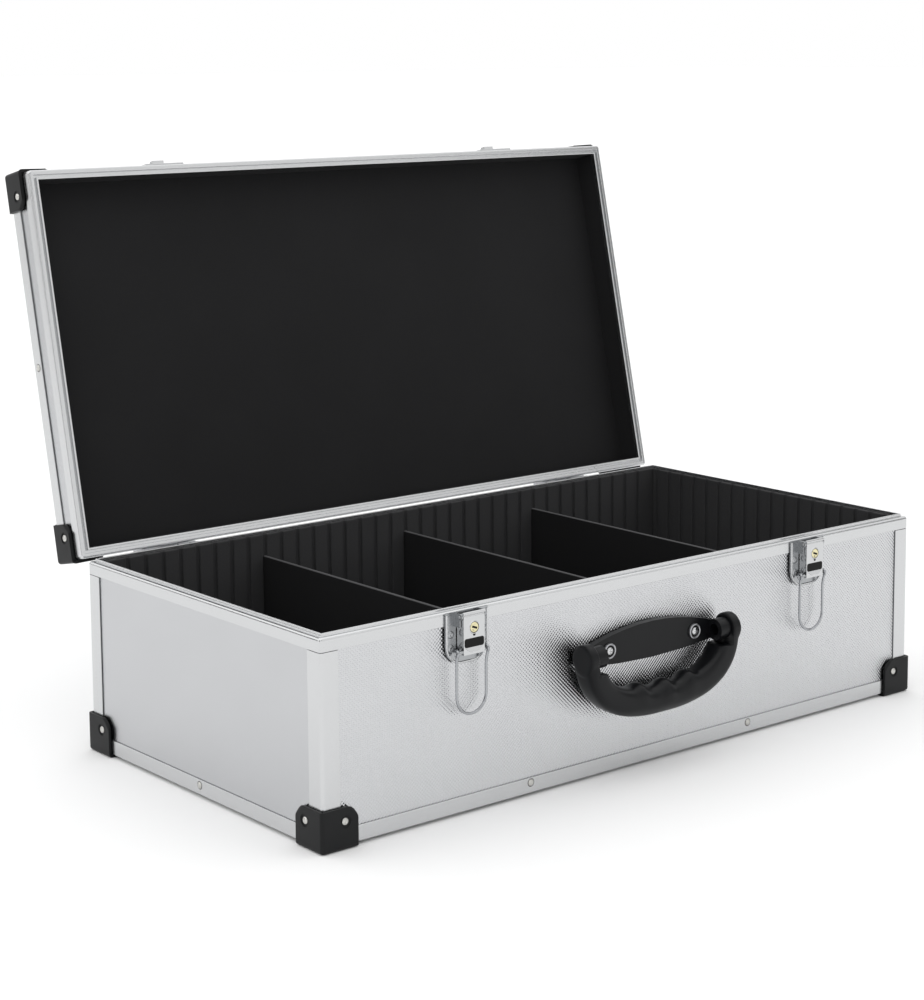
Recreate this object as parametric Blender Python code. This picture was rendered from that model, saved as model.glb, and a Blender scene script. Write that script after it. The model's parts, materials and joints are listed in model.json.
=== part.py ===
"""Aluminium attache case: a hinged lid, two draw latches, a carrying handle and lift-out dividers.

Units are metres. +X runs to the right along the front, +Y to the back and +Z up. The origin is the
middle of the bottom panel's underside. The lid is modelled shut and then swung open on its pivot.
"""
import math

import bmesh
import bpy
from mathutils import Vector

MM = 0.001

# Whole case
WIDTH = 550 * MM              # outer faces of the frame, left to right
DEPTH = 278 * MM              # outer faces of the frame, front to back
BASE_HEIGHT = 134 * MM        # underside of the bottom profile to the base rim's ledge
LID_HEIGHT = 31 * MM          # lid rim's face to the top of the lid's edge profile
CORNER_RADIUS = 2.5 * MM      # outer radius of the upright corners
OPEN_ANGLE = math.radians(102.5)

# Fits
GAP = 0.3 * MM                # between pieces that touch
PIN_GAP = 0.2 * MM            # around a turning pin

# Frame extrusions and panels
SKIN = 0.8 * MM               # wall of every extrusion
PANEL = 4 * MM                # board faced with aluminium sheet
PROFILE_STAND = 0.6 * MM      # edge profile stands proud of the panel that it borders
PROFILE_HEIGHT = 10.5 * MM    # edge profile's flange on the side walls
PROFILE_LEDGE = 12 * MM       # edge profile's flange on the bottom or the top panel
POST_LEG = 14 * MM            # upright corner post's reach along each wall
RIM_SKIRT = 9 * MM            # rim's outer strip
RIM_WEB = 1 * MM
TONGUE = 1.2 * MM             # wall of the tongue that locates the lid
TONGUE_HEIGHT = 2 * MM
TONGUE_PLAY = 0.4 * MM
LID_RIM_BAR = 1.6 * MM        # lid rim's face inside the tongue's groove
RIM_JOINT_INSET = 57 * MM     # each rim's two ends meet on the back, this far from the right side
RIM_JOINT = 0.3 * MM

# Lining and dividers
LINING = 4 * MM
FLOOR_PAD = 3 * MM
LID_PAD = 3 * MM
GROOVE_PITCH = 14.6 * MM
GROOVE_WIDTH = 3.4 * MM
GROOVE_DEPTH = 2 * MM
DIVIDER = 2.8 * MM
DIVIDER_DROP = 16 * MM         # top edges under the base rim's ledge
DIVIDER_STEP = 9              # grooves from one divider to the next

# Corner protectors
PROTECTOR = 2 * MM
PROTECTOR_LEG = 26 * MM
PROTECTOR_HEIGHT = 25 * MM
LID_PROTECTOR_HEIGHT = 21 * MM
PROTECTOR_ROUND = 8 * MM      # rounded far corners of each flange
PROTECTOR_EDGE = 2.5 * MM     # rounded outer edges

# Hinges, behind the back wall
HINGE_DROP = 3.1 * MM         # axis under the base rim's ledge
HINGE_LENGTH = 44 * MM
HINGE_LEAF = 1 * MM
HINGE_LEAF_HEIGHT = 14 * MM
KNUCKLE_RADIUS = 3.2 * MM
KNUCKLE_PLAY = 0.65 * MM      # knuckles to the frame's back face
HINGE_PIN_RADIUS = 1.5 * MM
HINGE_INSETS = {"left": 72 * MM, "right": 94 * MM}    # hinge's middle in from each side

# Latches, on the front wall; "out" sizes are measured out of the frame's front face
LATCH_INSET = 114.5 * MM      # latch's centre line in from each side
PLATE_WIDTH = 35 * MM
PLATE_HEIGHT = 34.5 * MM
PLATE_ROUND = 12.5 * MM
PLATE = 1 * MM
EAR = 1.2 * MM
EAR_HEIGHT = 7 * MM
LEVER_WIDTH = 17.3 * MM
LEVER_OUT = 8.7 * MM
LEVER_WALL = 0.8 * MM
LEVER_PIVOT_OUT = 6.4 * MM
LEVER_PIVOT_DROP = 2.8 * MM   # lever's axis under the base rim's ledge
BARREL_RADIUS = 2.2 * MM
LATCH_PIN_RADIUS = 1 * MM
BAR_OUT = 5.6 * MM            # bail's axis
BAR_DROP = 26.5 * MM
BAR_RADIUS = 1.2 * MM
LOCK_DROP = 10.3 * MM
LOCK_RADIUS = 3.3 * MM
LOCK_LENGTH = 6 * MM
WINDOW_DROP = (17.6 * MM, 22.4 * MM)
WINDOW_WIDTH = 14.6 * MM
BAIL_WIRE = 0.95 * MM         # radius
BAIL_PLAY = 1.05 * MM         # ears to the bail's arms
BAIL_LENGTH = 41 * MM         # axis to the far end's centre line
BAIL_EYE = 2.5 * MM           # outer radius of the curled eye
BAIL_EYE_WIDTH = 2.4 * MM

# Lid catches that the bails pull on
CATCH_WIDTH = 32 * MM
CATCH_HEIGHT = 20 * MM
CATCH_RISE = 2.5 * MM         # catch plate's lower edge above the lid rim's face
CATCH_PLATE = 0.8 * MM
HOOK_WIDTH = 9 * MM
HOOK_LIP = 0.9 * MM
HOOK_LIP_HEIGHT = 3 * MM

# Handle
HANDLE_DROP = 48 * MM         # axis of the grip under the base rim's ledge
HANDLE_OUT = 12 * MM
HANDLE_PLATE = 5 * MM
HANDLE_PLATE_HALF = 61.5 * MM
HANDLE_PLATE_RISE = 14 * MM   # top of the arched plate above the axis
HANDLE_PLATE_FALL = 11.3 * MM
HANDLE_PLATE_END_RISE = 4 * MM
HANDLE_PLATE_BOW = 1 * MM     # rise of its lower edge from the middle to the quarter points
BOSS_RADIUS = 7.5 * MM
BOSS_INNER = 53.5 * MM
BOSS_OUTER = 63 * MM
SCREW_X = 40.3 * MM
SCREW_HEAD = 3.8 * MM         # radius
SCREW_HEAD_HEIGHT = 1.2 * MM
SCREW_SHANK = 2 * MM          # radius
GRIP_OUTER = (70.8 * MM, 48.5 * MM)   # half width and drop of the grip's outer outline
GRIP_INNER = (55 * MM, 28 * MM)       # the same for its inner outline
GRIP_FULLNESS = 2.4           # outer outline's superellipse exponent, 2 is an ellipse
GRIP_SQUARENESS = 2.6         # inner outline's exponent
GRIP_START = math.radians(10)  # where the bow starts, round from the axis
GRIP_END_RADIUS = 10.4 * MM
GRIP_STUB_RADIUS = 4 * MM
GRIP_STUB_LENGTH = 10 * MM

# Facets
ARC_STEPS = 5                 # per quarter circle
ROUND_SIDES = 24
SMALL_SIDES = 16
SHARP_ANGLE = math.radians(45)    # edges sharper than this are not shaded round

# Derived levels and faces
FRAME_BOTTOM = -PROFILE_STAND
LEDGE = FRAME_BOTTOM + BASE_HEIGHT
LID_FACE = LEDGE + GAP
LID_TOP = LID_FACE + LID_HEIGHT
FRONT = -DEPTH / 2
BACK = DEPTH / 2
PANEL_INSET = SKIN + GAP
PANEL_INNER = PANEL_INSET + PANEL
LINING_OUTER = PANEL_INNER + GAP
LINING_INNER = LINING_OUTER + LINING
TONGUE_INNER = LINING_OUTER - GAP
TONGUE_INSET = TONGUE_INNER - TONGUE
LID_RIM_WIDTH = TONGUE_INNER + TONGUE_PLAY + LID_RIM_BAR
FLANGE_INNER = SKIN - PROFILE_STAND   # inner face of the edge profile's flat flange
FLOOR_TOP = PANEL + GAP + FLOOR_PAD
HINGE_AXIS = Vector((0, BACK + KNUCKLE_PLAY + KNUCKLE_RADIUS, LEDGE - HINGE_DROP))
RIM_JOINT_X = WIDTH / 2 - RIM_JOINT_INSET
DIVIDER_TOP = LEDGE - DIVIDER_DROP
LATCH_X = WIDTH / 2 - LATCH_INSET
EAR_OUTER = LEVER_WIDTH / 2 + GAP + EAR   # outer face of a latch plate's ear, from the centre line
BAIL_ARM = EAR_OUTER + BAIL_PLAY + BAIL_WIRE   # a bail arm's centre line, from the same
HANDLE_Z = LEDGE - HANDLE_DROP
CUT = 5 * MM                  # how far a cutter reaches past what it cuts
BITE = 1 * MM                 # how far shapes that are joined run into each other


def clear_scene():
    for obj in list(bpy.data.objects):
        bpy.data.objects.remove(obj, do_unlink=True)


def new_collection(name):
    collection = bpy.data.collections.new(name)
    bpy.context.scene.collection.children.link(collection)
    return collection


def new_material(name, colour, roughness, metallic):
    material = bpy.data.materials.new(name)
    material.use_nodes = True
    shader = material.node_tree.nodes["Principled BSDF"]
    shader.inputs["Base Color"].default_value = (*colour, 1)
    shader.inputs["Roughness"].default_value = roughness
    shader.inputs["Metallic"].default_value = metallic
    material.diffuse_color = (*colour, 1)
    return material


clear_scene()
PARTS = new_collection("attache_case")
CUTTERS = new_collection("cutters")
SHEET = new_material("embossed_sheet", (0.60, 0.60, 0.62), 0.35, 0.9)
EXTRUSION = new_material("anodised_extrusion", (0.66, 0.66, 0.68), 0.3, 0.95)
CHROME = new_material("chromed_steel", (0.72, 0.72, 0.73), 0.12, 1)
BRASS = new_material("brass", (0.72, 0.56, 0.25), 0.25, 1)
BLACK_PLASTIC = new_material("black_plastic", (0.022, 0.022, 0.024), 0.45, 0)
BLACK_LINING = new_material("black_lining", (0.012, 0.012, 0.013), 0.85, 0)


def own_material(name, finish):
    """Each sub-part carries its own copy of its finish."""
    material = finish.copy()
    material.name = name
    return material


def finish_object(name, mesh, finish, pivot=None):
    """Put a mesh in the model as a sub-part, or among the cutters where it has no finish."""
    obj = bpy.data.objects.new(name, mesh)
    if finish is None:
        CUTTERS.objects.link(obj)
        obj.hide_render = True
        obj.display_type = "WIRE"
    else:
        PARTS.objects.link(obj)
        mesh.materials.append(own_material(name, finish))
    if pivot is not None:
        obj.parent = pivot
    return obj


def new_pivot(name, location, parent=None):
    """An empty on a joint's axis. Its children are placed from it."""
    pivot = bpy.data.objects.new(name, None)
    PARTS.objects.link(pivot)
    pivot.empty_display_size = 20 * MM
    pivot.parent = parent
    pivot.location = Vector(location) - world_place(parent)
    return pivot


def world_place(pivot):
    """Where a pivot stands while nothing is turned yet."""
    place = Vector((0, 0, 0))
    while pivot is not None:
        place += pivot.location
        pivot = pivot.parent
    return place


def place(obj, location, rotation=(0, 0, 0)):
    """Place an object by world coordinates, under its pivot if it has one."""
    obj.location = Vector(location) - world_place(obj.parent)
    obj.rotation_euler = rotation
    return obj


def mesh_from(name, bm):
    mesh = bpy.data.meshes.new(name)
    bm.to_mesh(mesh)
    bm.free()
    return mesh


def block(name, low, high, finish=None, pivot=None):
    """A box between two corners."""
    low, high = Vector(low), Vector(high)
    bm = bmesh.new()
    bmesh.ops.create_cube(bm, size=1)
    bmesh.ops.scale(bm, vec=high - low, verts=bm.verts)
    obj = finish_object(name, mesh_from(name, bm), finish, pivot)
    return place(obj, (low + high) / 2)


def rod(name, start, end, radius, finish=None, pivot=None, sides=ROUND_SIDES):
    """A cylinder from one point to another."""
    start, end = Vector(start), Vector(end)
    bm = bmesh.new()
    bmesh.ops.create_cone(bm, cap_ends=True, segments=sides, radius1=radius, radius2=radius,
                          depth=(end - start).length)
    obj = finish_object(name, mesh_from(name, bm), finish, pivot)
    obj.data.shade_smooth()
    obj.data.set_sharp_from_angle(angle=SHARP_ANGLE)
    turn = Vector((0, 0, 1)).rotation_difference(end - start)
    return place(obj, (start + end) / 2, turn.to_euler())


def mesh_from_curve(curve):
    """The closed mesh of a filled curve, with its loose caps welded on."""
    guide = bpy.data.objects.new(curve.name, curve)
    CUTTERS.objects.link(guide)
    mesh = bpy.data.meshes.new_from_object(guide.evaluated_get(bpy.context.evaluated_depsgraph_get()))
    bpy.data.objects.remove(guide)
    bm = bmesh.new()
    bm.from_mesh(mesh)
    bmesh.ops.remove_doubles(bm, verts=bm.verts, dist=0.01 * MM)
    bmesh.ops.recalc_face_normals(bm, faces=bm.faces)
    bm.to_mesh(mesh)
    bm.free()
    mesh.materials.clear()
    return mesh


def add_loop(curve, points):
    spline = curve.splines.new("POLY")
    spline.points.add(len(points) - 1)
    for spline_point, (x, y) in zip(spline.points, points):
        spline_point.co = (x, y, 0, 1)
    spline.use_cyclic_u = True


def slab(name, loops, thickness, finish=None, pivot=None):
    """A flat outline of one or more loops, as thick as said, its middle plane at z = 0."""
    curve = bpy.data.curves.new(name, "CURVE")
    curve.dimensions = "2D"
    curve.fill_mode = "BOTH"
    curve.extrude = thickness / 2
    for loop in loops:
        add_loop(curve, loop)
    mesh = mesh_from_curve(curve)
    mesh.name = name
    return finish_object(name, mesh, finish, pivot)


def tube(name, points, radii, sides_setting, finish=None, pivot=None):
    """A round bar along points, with a radius at each."""
    curve = bpy.data.curves.new(name, "CURVE")
    curve.dimensions = "3D"
    curve.bevel_depth = radii[0]
    curve.bevel_resolution = sides_setting
    curve.use_fill_caps = True
    spline = curve.splines.new("POLY")
    spline.points.add(len(points) - 1)
    for spline_point, point, radius in zip(spline.points, points, radii):
        spline_point.co = (*point, 1)
        spline_point.radius = radius / radii[0]
    mesh = mesh_from_curve(curve)
    mesh.name = name
    mesh.shade_smooth()
    mesh.set_sharp_from_angle(angle=SHARP_ANGLE)
    return finish_object(name, mesh, finish, pivot)


def boolean(obj, tool, operation):
    modifier = obj.modifiers.new(tool.name, "BOOLEAN")
    modifier.operation = operation
    modifier.solver = "EXACT"
    modifier.object = tool


def cut(obj, *tools):
    for tool in tools:
        boolean(obj, tool, "DIFFERENCE")


def join(obj, *tools):
    for tool in tools:
        boolean(obj, tool, "UNION")


def arc(centre, radius, start, end, steps):
    """Points on an arc, from one angle in degrees to another."""
    points = []
    for step in range(steps + 1):
        angle = math.radians(start + (end - start) * step / steps)
        points.append((centre[0] + radius * math.cos(angle), centre[1] + radius * math.sin(angle)))
    return points


def rounded_rectangle(half_x, half_y, radius):
    """An outline about the origin; a radius of 0 leaves the corners sharp."""
    if radius <= 0:
        return [(half_x, half_y), (-half_x, half_y), (-half_x, -half_y), (half_x, -half_y)]
    points = []
    for sign_x, sign_y, start in ((1, 1, 0), (-1, 1, 90), (-1, -1, 180), (1, -1, 270)):
        centre = (sign_x * (half_x - radius), sign_y * (half_y - radius))
        points += arc(centre, radius, start, start + 90, ARC_STEPS)
    return points


def frame_outline(inset):
    """The case's plan outline, drawn in by an inset."""
    return rounded_rectangle(WIDTH / 2 - inset, DEPTH / 2 - inset, CORNER_RADIUS - inset)


def frame_slab(name, insets, bottom, top, finish=None, pivot=None):
    """A plate, or a ring where two insets are given, with the case's plan outline."""
    obj = slab(name, [frame_outline(inset) for inset in insets], top - bottom, finish, pivot)
    return place(obj, (0, 0, (bottom + top) / 2))


# ---------------------------------------------------------------- base shell

def make_wall_panels(prefix, bottom, top, pivot=None):
    """Front and back panels run the full width; the side panels fit between them."""
    half_x = WIDTH / 2 - PANEL_INSET
    inner_y = DEPTH / 2 - PANEL_INNER
    for end, sign in (("front", -1), ("back", 1)):
        near, far = sorted((sign * inner_y, sign * DEPTH))
        panel = block(prefix + "_" + end + "_panel", (-WIDTH, near, bottom), (WIDTH, far, top),
                      SHEET, pivot)
        inside = frame_slab(panel.name + "_outline", (PANEL_INSET,), bottom - CUT, top + CUT, None, pivot)
        boolean(panel, inside, "INTERSECT")
    side_y = inner_y - GAP
    for side, sign in (("left", -1), ("right", 1)):
        low_x, high_x = sorted((sign * half_x, sign * (half_x - PANEL)))
        block(prefix + "_" + side + "_panel", (low_x, -side_y, bottom), (high_x, side_y, top),
              SHEET, pivot)


def make_flat_panel(name, face, inward, pivot=None):
    """Bottom or top panel, rebated under the edge profile's flange and the corner protectors.

    face is the height of its outer face, and inward is +1 or -1, the way into the case.
    """
    outer = LINING_OUTER
    far = face + inward * PANEL
    low, high = min(face, far), max(face, far)
    panel = frame_slab(name, (outer,), low, high, SHEET, pivot)
    rebate = face + inward * (FLANGE_INNER + GAP)
    past = face - inward * CUT
    low, high = min(rebate, past), max(rebate, past)
    cut(panel, frame_slab(name + "_rebate", (outer - CUT, PROFILE_LEDGE + GAP), low, high, None, pivot))
    reach = PROTECTOR_LEG + 2 * GAP
    for sign_x in (-1, 1):
        for sign_y in (-1, 1):
            low_x, high_x = sorted((sign_x * (WIDTH / 2 - reach), sign_x * (WIDTH / 2 + CUT)))
            low_y, high_y = sorted((sign_y * (DEPTH / 2 - reach), sign_y * (DEPTH / 2 + CUT)))
            cut(panel, block(name + "_corner" + str(sign_x) + str(sign_y), (low_x, low_y, low),
                             (high_x, high_y, high), None, pivot))


def make_edge_profile(name, face, inward, pivot=None):
    """Angle extrusion bent round the bottom or the top edge."""
    outer_face = face - inward * PROFILE_STAND
    wall_end = outer_face + inward * PROFILE_HEIGHT
    low, high = min(outer_face, wall_end), max(outer_face, wall_end)
    profile = frame_slab(name, (0,), low, high, EXTRUSION, pivot)
    flange = face + inward * FLANGE_INNER
    beyond = wall_end + inward * CUT
    hollow = frame_slab(name + "_hollow", (SKIN,), min(flange, beyond), max(flange, beyond), None, pivot)
    opening = frame_slab(name + "_opening", (PROFILE_LEDGE,), low - CUT, high + CUT, None, pivot)
    cut(profile, hollow, opening)


def make_corner_posts(bottom, top):
    """Angle extrusions over the upright corners."""
    for side, sign_x in (("left", -1), ("right", 1)):
        for end, sign_y in (("front", -1), ("back", 1)):
            name = "corner_post_" + end + "_" + side
            post = frame_slab(name, (0, SKIN), bottom, top, EXTRUSION)
            corner = Vector((sign_x * (WIDTH / 2 + CUT), sign_y * (DEPTH / 2 + CUT), top + CUT))
            inner = Vector((sign_x * (WIDTH / 2 - POST_LEG), sign_y * (DEPTH / 2 - POST_LEG),
                            bottom - CUT))
            low = [min(pair) for pair in zip(corner, inner)]
            high = [max(pair) for pair in zip(corner, inner)]
            boolean(post, block(name + "_reach", low, high), "INTERSECT")


def cut_rim_joint(rim, bottom, top, pivot=None):
    """The rim is bent from one length, so its ends meet at a fine joint on the back."""
    cut(rim, block(rim.name + "_joint", (RIM_JOINT_X, 0, bottom - CUT),
                   (RIM_JOINT_X + RIM_JOINT, BACK + CUT, top + CUT), None, pivot))


def make_base_rim():
    """Skirt over the walls' upper edge, a ledge, and the tongue that locates the lid."""
    bottom = LEDGE - RIM_SKIRT
    top = LEDGE + TONGUE_HEIGHT
    rim = frame_slab("base_rim", (0,), bottom, top, EXTRUSION)
    cut(rim, frame_slab("base_rim_opening", (TONGUE_INNER,), bottom - CUT, top + CUT))
    cut(rim, frame_slab("base_rim_skirt", (SKIN,), bottom - CUT, LEDGE - RIM_WEB))
    cut(rim, frame_slab("base_rim_ledge", (-CUT, TONGUE_INSET), LEDGE, top + CUT))
    cut_rim_joint(rim, bottom, top)


def make_lid_rim(pivot):
    """Skirt under the lid's walls, with the groove that takes the base's tongue."""
    bar_top = LID_FACE + TONGUE_HEIGHT + TONGUE_PLAY + RIM_WEB
    top = LID_FACE + RIM_SKIRT
    rim = frame_slab("lid_rim", (0,), LID_FACE, top, EXTRUSION, pivot)
    cut(rim, frame_slab("lid_rim_opening", (LID_RIM_WIDTH,), LID_FACE - CUT, top + CUT, None, pivot))
    cut(rim, frame_slab("lid_rim_skirt", (SKIN,), bar_top, top + CUT, None, pivot))
    groove = (TONGUE_INSET - TONGUE_PLAY, TONGUE_INNER + TONGUE_PLAY)
    cut(rim, frame_slab("lid_rim_groove", groove, LID_FACE - CUT, bar_top - RIM_WEB, None, pivot))
    cut_rim_joint(rim, LID_FACE, top, pivot)
    return bar_top


def make_protector(name, sign_x, sign_y, level, inward, pivot=None):
    """Moulded cap over one outer corner. level is the profile's outer face, inward the way in."""
    low = -(GAP + PROTECTOR)
    height = PROTECTOR_HEIGHT if inward > 0 else LID_PROTECTOR_HEIGHT
    size = Vector((PROTECTOR_LEG - low, PROTECTOR_LEG - low, height - low))
    bm = bmesh.new()
    bmesh.ops.create_cube(bm, size=1)
    bmesh.ops.scale(bm, vec=size, verts=bm.verts)
    bmesh.ops.translate(bm, vec=size / 2 + Vector((low, low, low)), verts=bm.verts)
    for near, radius in ((False, PROTECTOR_ROUND), (True, PROTECTOR_EDGE)):
        edges = [edge for edge in bm.edges if edge_is_between(edge, near, low)]
        bmesh.ops.bevel(bm, geom=edges, offset=radius, segments=ARC_STEPS - 1, profile=0.5,
                        affect="EDGES")
    mirror_into_corner(bm, sign_x, sign_y, inward)
    cap = finish_object(name, mesh_from(name, bm), BLACK_PLASTIC, pivot)
    corner = (sign_x * WIDTH / 2, sign_y * DEPTH / 2, level)
    place(cap, corner)

    reach = PROTECTOR_LEG + CUT
    bm = bmesh.new()
    bmesh.ops.create_cube(bm, size=reach + GAP)
    bmesh.ops.translate(bm, vec=((reach - GAP) / 2,) * 3, verts=bm.verts)
    mirror_into_corner(bm, sign_x, sign_y, inward)
    hollow = finish_object(name + "_hollow", mesh_from(name + "_hollow", bm), None, pivot)
    cut(cap, place(hollow, corner))


def edge_is_between(edge, near, low):
    """Edges that meet at the outer corner (near), or that lie across from it on two far faces."""
    first, second = (vert.co for vert in edge.verts)
    shared = [axis for axis in range(3) if abs(first[axis] - second[axis]) < MM]
    sides = [abs(first[axis] - low) < MM for axis in shared]
    return all(sides) if near else not any(sides)


def mirror_into_corner(bm, sign_x, sign_y, sign_z):
    """Turn a corner piece drawn for the left front bottom corner into any of the eight."""
    signs = (-sign_x, -sign_y, sign_z)
    bmesh.ops.scale(bm, vec=signs, verts=bm.verts)
    if signs[0] * signs[1] * signs[2] < 0:
        bmesh.ops.reverse_faces(bm, faces=bm.faces)


def make_protectors(prefix, level, inward, pivot=None):
    for side, sign_x in (("left", -1), ("right", 1)):
        for end, sign_y in (("front", -1), ("back", 1)):
            make_protector(prefix + "_protector_" + end + "_" + side, sign_x, sign_y, level, inward,
                           pivot)


# ---------------------------------------------------------------- lining and dividers

def groove_places(reach, first):
    """Groove centres along a wall, out to a reach each way, mirrored about its middle."""
    places = []
    centre = first
    while centre < reach:
        places += [centre, -centre] if centre else [centre]
        centre += GROOVE_PITCH
    return sorted(places)


def grooved_strip(length, places):
    """Plan outline of a lining strip: x along the wall, y from its back (0) to its grooved face."""
    points = [(-length / 2, 0), (length / 2, 0), (length / 2, LINING)]
    for centre in reversed(places):
        for across, down in ((1, 0), (1, 1), (-1, 1), (-1, 0)):
            points.append((centre + across * GROOVE_WIDTH / 2, LINING - down * GROOVE_DEPTH))
    points.append((-length / 2, LINING))
    return points


def make_base_lining():
    bottom = FLOOR_TOP + GAP
    middle = (bottom + LEDGE) / 2
    long_run = WIDTH - 2 * LINING_OUTER
    short_run = DEPTH - 2 * LINING_INNER - 2 * GAP
    long_places = groove_places(long_run / 2 - LINING - GROOVE_WIDTH, 0)
    short_places = groove_places(short_run / 2 - GROOVE_WIDTH, GROOVE_PITCH / 2)
    wall_x = WIDTH / 2 - LINING_OUTER
    wall_y = DEPTH / 2 - LINING_OUTER
    walls = (("front", long_run, long_places, (0, -wall_y), 0),
             ("back", long_run, long_places, (0, wall_y), 180),
             ("left", short_run, short_places, (-wall_x, 0), -90),
             ("right", short_run, short_places, (wall_x, 0), 90))
    for name, run, places, (x, y), turn in walls:
        strip = slab("lining_" + name, [grooved_strip(run, places)], LEDGE - bottom, BLACK_LINING)
        place(strip, (x, y, middle), (0, 0, math.radians(turn)))
    frame_slab("lining_floor", (LINING_OUTER,), PANEL + GAP, FLOOR_TOP, BLACK_LINING)


def make_dividers():
    """Boards that slide down in facing grooves of the front and back lining."""
    reach = DEPTH / 2 - LINING_INNER + GROOVE_DEPTH - GAP
    for name, step in (("left", -DIVIDER_STEP), ("middle", 0), ("right", DIVIDER_STEP)):
        x = step * GROOVE_PITCH
        pivot = new_pivot("divider_" + name + "_slide", (x, 0, FLOOR_TOP))
        block("divider_" + name, (x - DIVIDER / 2, -reach, FLOOR_TOP + GAP),
              (x + DIVIDER / 2, reach, DIVIDER_TOP), BLACK_LINING, pivot)


def make_lid_lining(walls_bottom, pivot):
    pad_top = LID_TOP - PROFILE_STAND - PANEL - GAP
    pad_bottom = pad_top - LID_PAD
    frame_slab("lid_lining_pad", (LINING_OUTER,), pad_bottom, pad_top, BLACK_LINING, pivot)
    frame_slab("lid_lining_walls", (LINING_OUTER, LID_RIM_WIDTH), walls_bottom, pad_bottom - GAP,
               BLACK_LINING, pivot)


# ---------------------------------------------------------------- hinges

def make_hinges(lid_pivot):
    """Butt hinges with three knuckles: the base's two outer ones and the lid's middle one."""
    face = BACK + GAP
    third = HINGE_LENGTH / 3
    for name, sign in (("left", -1), ("right", 1)):
        x = sign * (WIDTH / 2 - HINGE_INSETS[name])
        axis = Vector((x, HINGE_AXIS.y, HINGE_AXIS.z))
        along = Vector((1, 0, 0))
        base_leaf = block("hinge_base_leaf_" + name,
                          (x - HINGE_LENGTH / 2, face, axis.z - HINGE_LEAF_HEIGHT),
                          (x + HINGE_LENGTH / 2, face + HINGE_LEAF, axis.z), EXTRUSION)
        for side in (-1, 1):
            start = axis + along * side * HINGE_LENGTH / 2
            end = axis + along * side * (third / 2 + GAP)
            join(base_leaf, rod(base_leaf.name + "_knuckle" + str(side), start, end, KNUCKLE_RADIUS))
        cut(base_leaf,
            rod(base_leaf.name + "_bore", axis - along * HINGE_LENGTH, axis + along * HINGE_LENGTH,
                HINGE_PIN_RADIUS + PIN_GAP),
            block(base_leaf.name + "_slot",
                  (x - third / 2 - GAP, face - CUT, axis.z - KNUCKLE_RADIUS - GAP),
                  (x + third / 2 + GAP, face + CUT, axis.z + CUT)))

        leaf_low = LID_FACE + GAP
        lid_leaf = block("hinge_lid_leaf_" + name, (x - HINGE_LENGTH / 2, face, leaf_low),
                         (x + HINGE_LENGTH / 2, face + HINGE_LEAF, leaf_low + HINGE_LEAF_HEIGHT),
                         EXTRUSION, lid_pivot)
        join(lid_leaf,
             block(lid_leaf.name + "_neck", (x - third / 2 + GAP, face, axis.z),
                   (x + third / 2 - GAP, face + HINGE_LEAF, leaf_low + BITE), None, lid_pivot),
             rod(lid_leaf.name + "_knuckle", axis - along * (third / 2 - GAP),
                 axis + along * (third / 2 - GAP), KNUCKLE_RADIUS, None, lid_pivot))
        cut(lid_leaf, rod(lid_leaf.name + "_bore", axis - along * HINGE_LENGTH,
                          axis + along * HINGE_LENGTH, HINGE_PIN_RADIUS + PIN_GAP, None, lid_pivot))
        rod("hinge_pin_" + name, axis - along * (HINGE_LENGTH / 2 - GAP),
            axis + along * (HINGE_LENGTH / 2 - GAP), HINGE_PIN_RADIUS, CHROME)


# ---------------------------------------------------------------- latches

def shield_outline():
    """Latch plate, seen from the front: x across, y up from its lower edge."""
    half = PLATE_WIDTH / 2
    points = [(half, PLATE_HEIGHT), (-half, PLATE_HEIGHT)]
    points += arc((-half + PLATE_ROUND, PLATE_ROUND), PLATE_ROUND, 180, 270, ARC_STEPS)
    points += arc((half - PLATE_ROUND, PLATE_ROUND), PLATE_ROUND, 270, 360, ARC_STEPS)
    return points


def make_latch(name, x, lid_pivot):
    pin_place = Vector((x, FRONT - LEVER_PIVOT_OUT, LEDGE - LEVER_PIVOT_DROP))
    bar_place = Vector((x, FRONT - BAR_OUT, LEDGE - BAR_DROP))
    make_latch_plate(name, x, pin_place)
    lever_pivot = new_pivot("latch_lever_pivot_" + name, pin_place)
    make_latch_lever(name, x, pin_place, bar_place, lever_pivot)
    bail_pivot = new_pivot("latch_bail_pivot_" + name, bar_place, lever_pivot)
    make_bail(name, bar_place, bail_pivot)
    make_catch(name, x, bar_place, lid_pivot)


def make_latch_plate(name, x, pin_place):
    """Riveted plate with two ears that carry the lever's pin."""
    along = Vector((1, 0, 0))
    back = FRONT - GAP
    plate = slab("latch_plate_" + name, [shield_outline()], PLATE, CHROME)
    place(plate, (x, back - PLATE / 2, LEDGE - GAP - PLATE_HEIGHT), (math.radians(90), 0, 0))
    for side in (-1, 1):
        inner = side * (EAR_OUTER - EAR)
        outer = side * EAR_OUTER
        low_x, high_x = sorted((x + inner, x + outer))
        join(plate, block(plate.name + "_ear" + str(side),
                          (low_x, pin_place.y, pin_place.z - EAR_HEIGHT),
                          (high_x, back - PLATE / 2, pin_place.z + BARREL_RADIUS)),
             rod(plate.name + "_boss" + str(side), pin_place + along * inner,
                 pin_place + along * outer, BARREL_RADIUS, sides=SMALL_SIDES))
    cut(plate, rod(plate.name + "_bore", pin_place - along * PLATE_WIDTH,
                   pin_place + along * PLATE_WIDTH, LATCH_PIN_RADIUS + PIN_GAP, sides=SMALL_SIDES))
    half = EAR_OUTER + GAP
    rod("latch_pin_" + name, pin_place - along * half, pin_place + along * half, LATCH_PIN_RADIUS,
        CHROME, sides=SMALL_SIDES)


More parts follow.
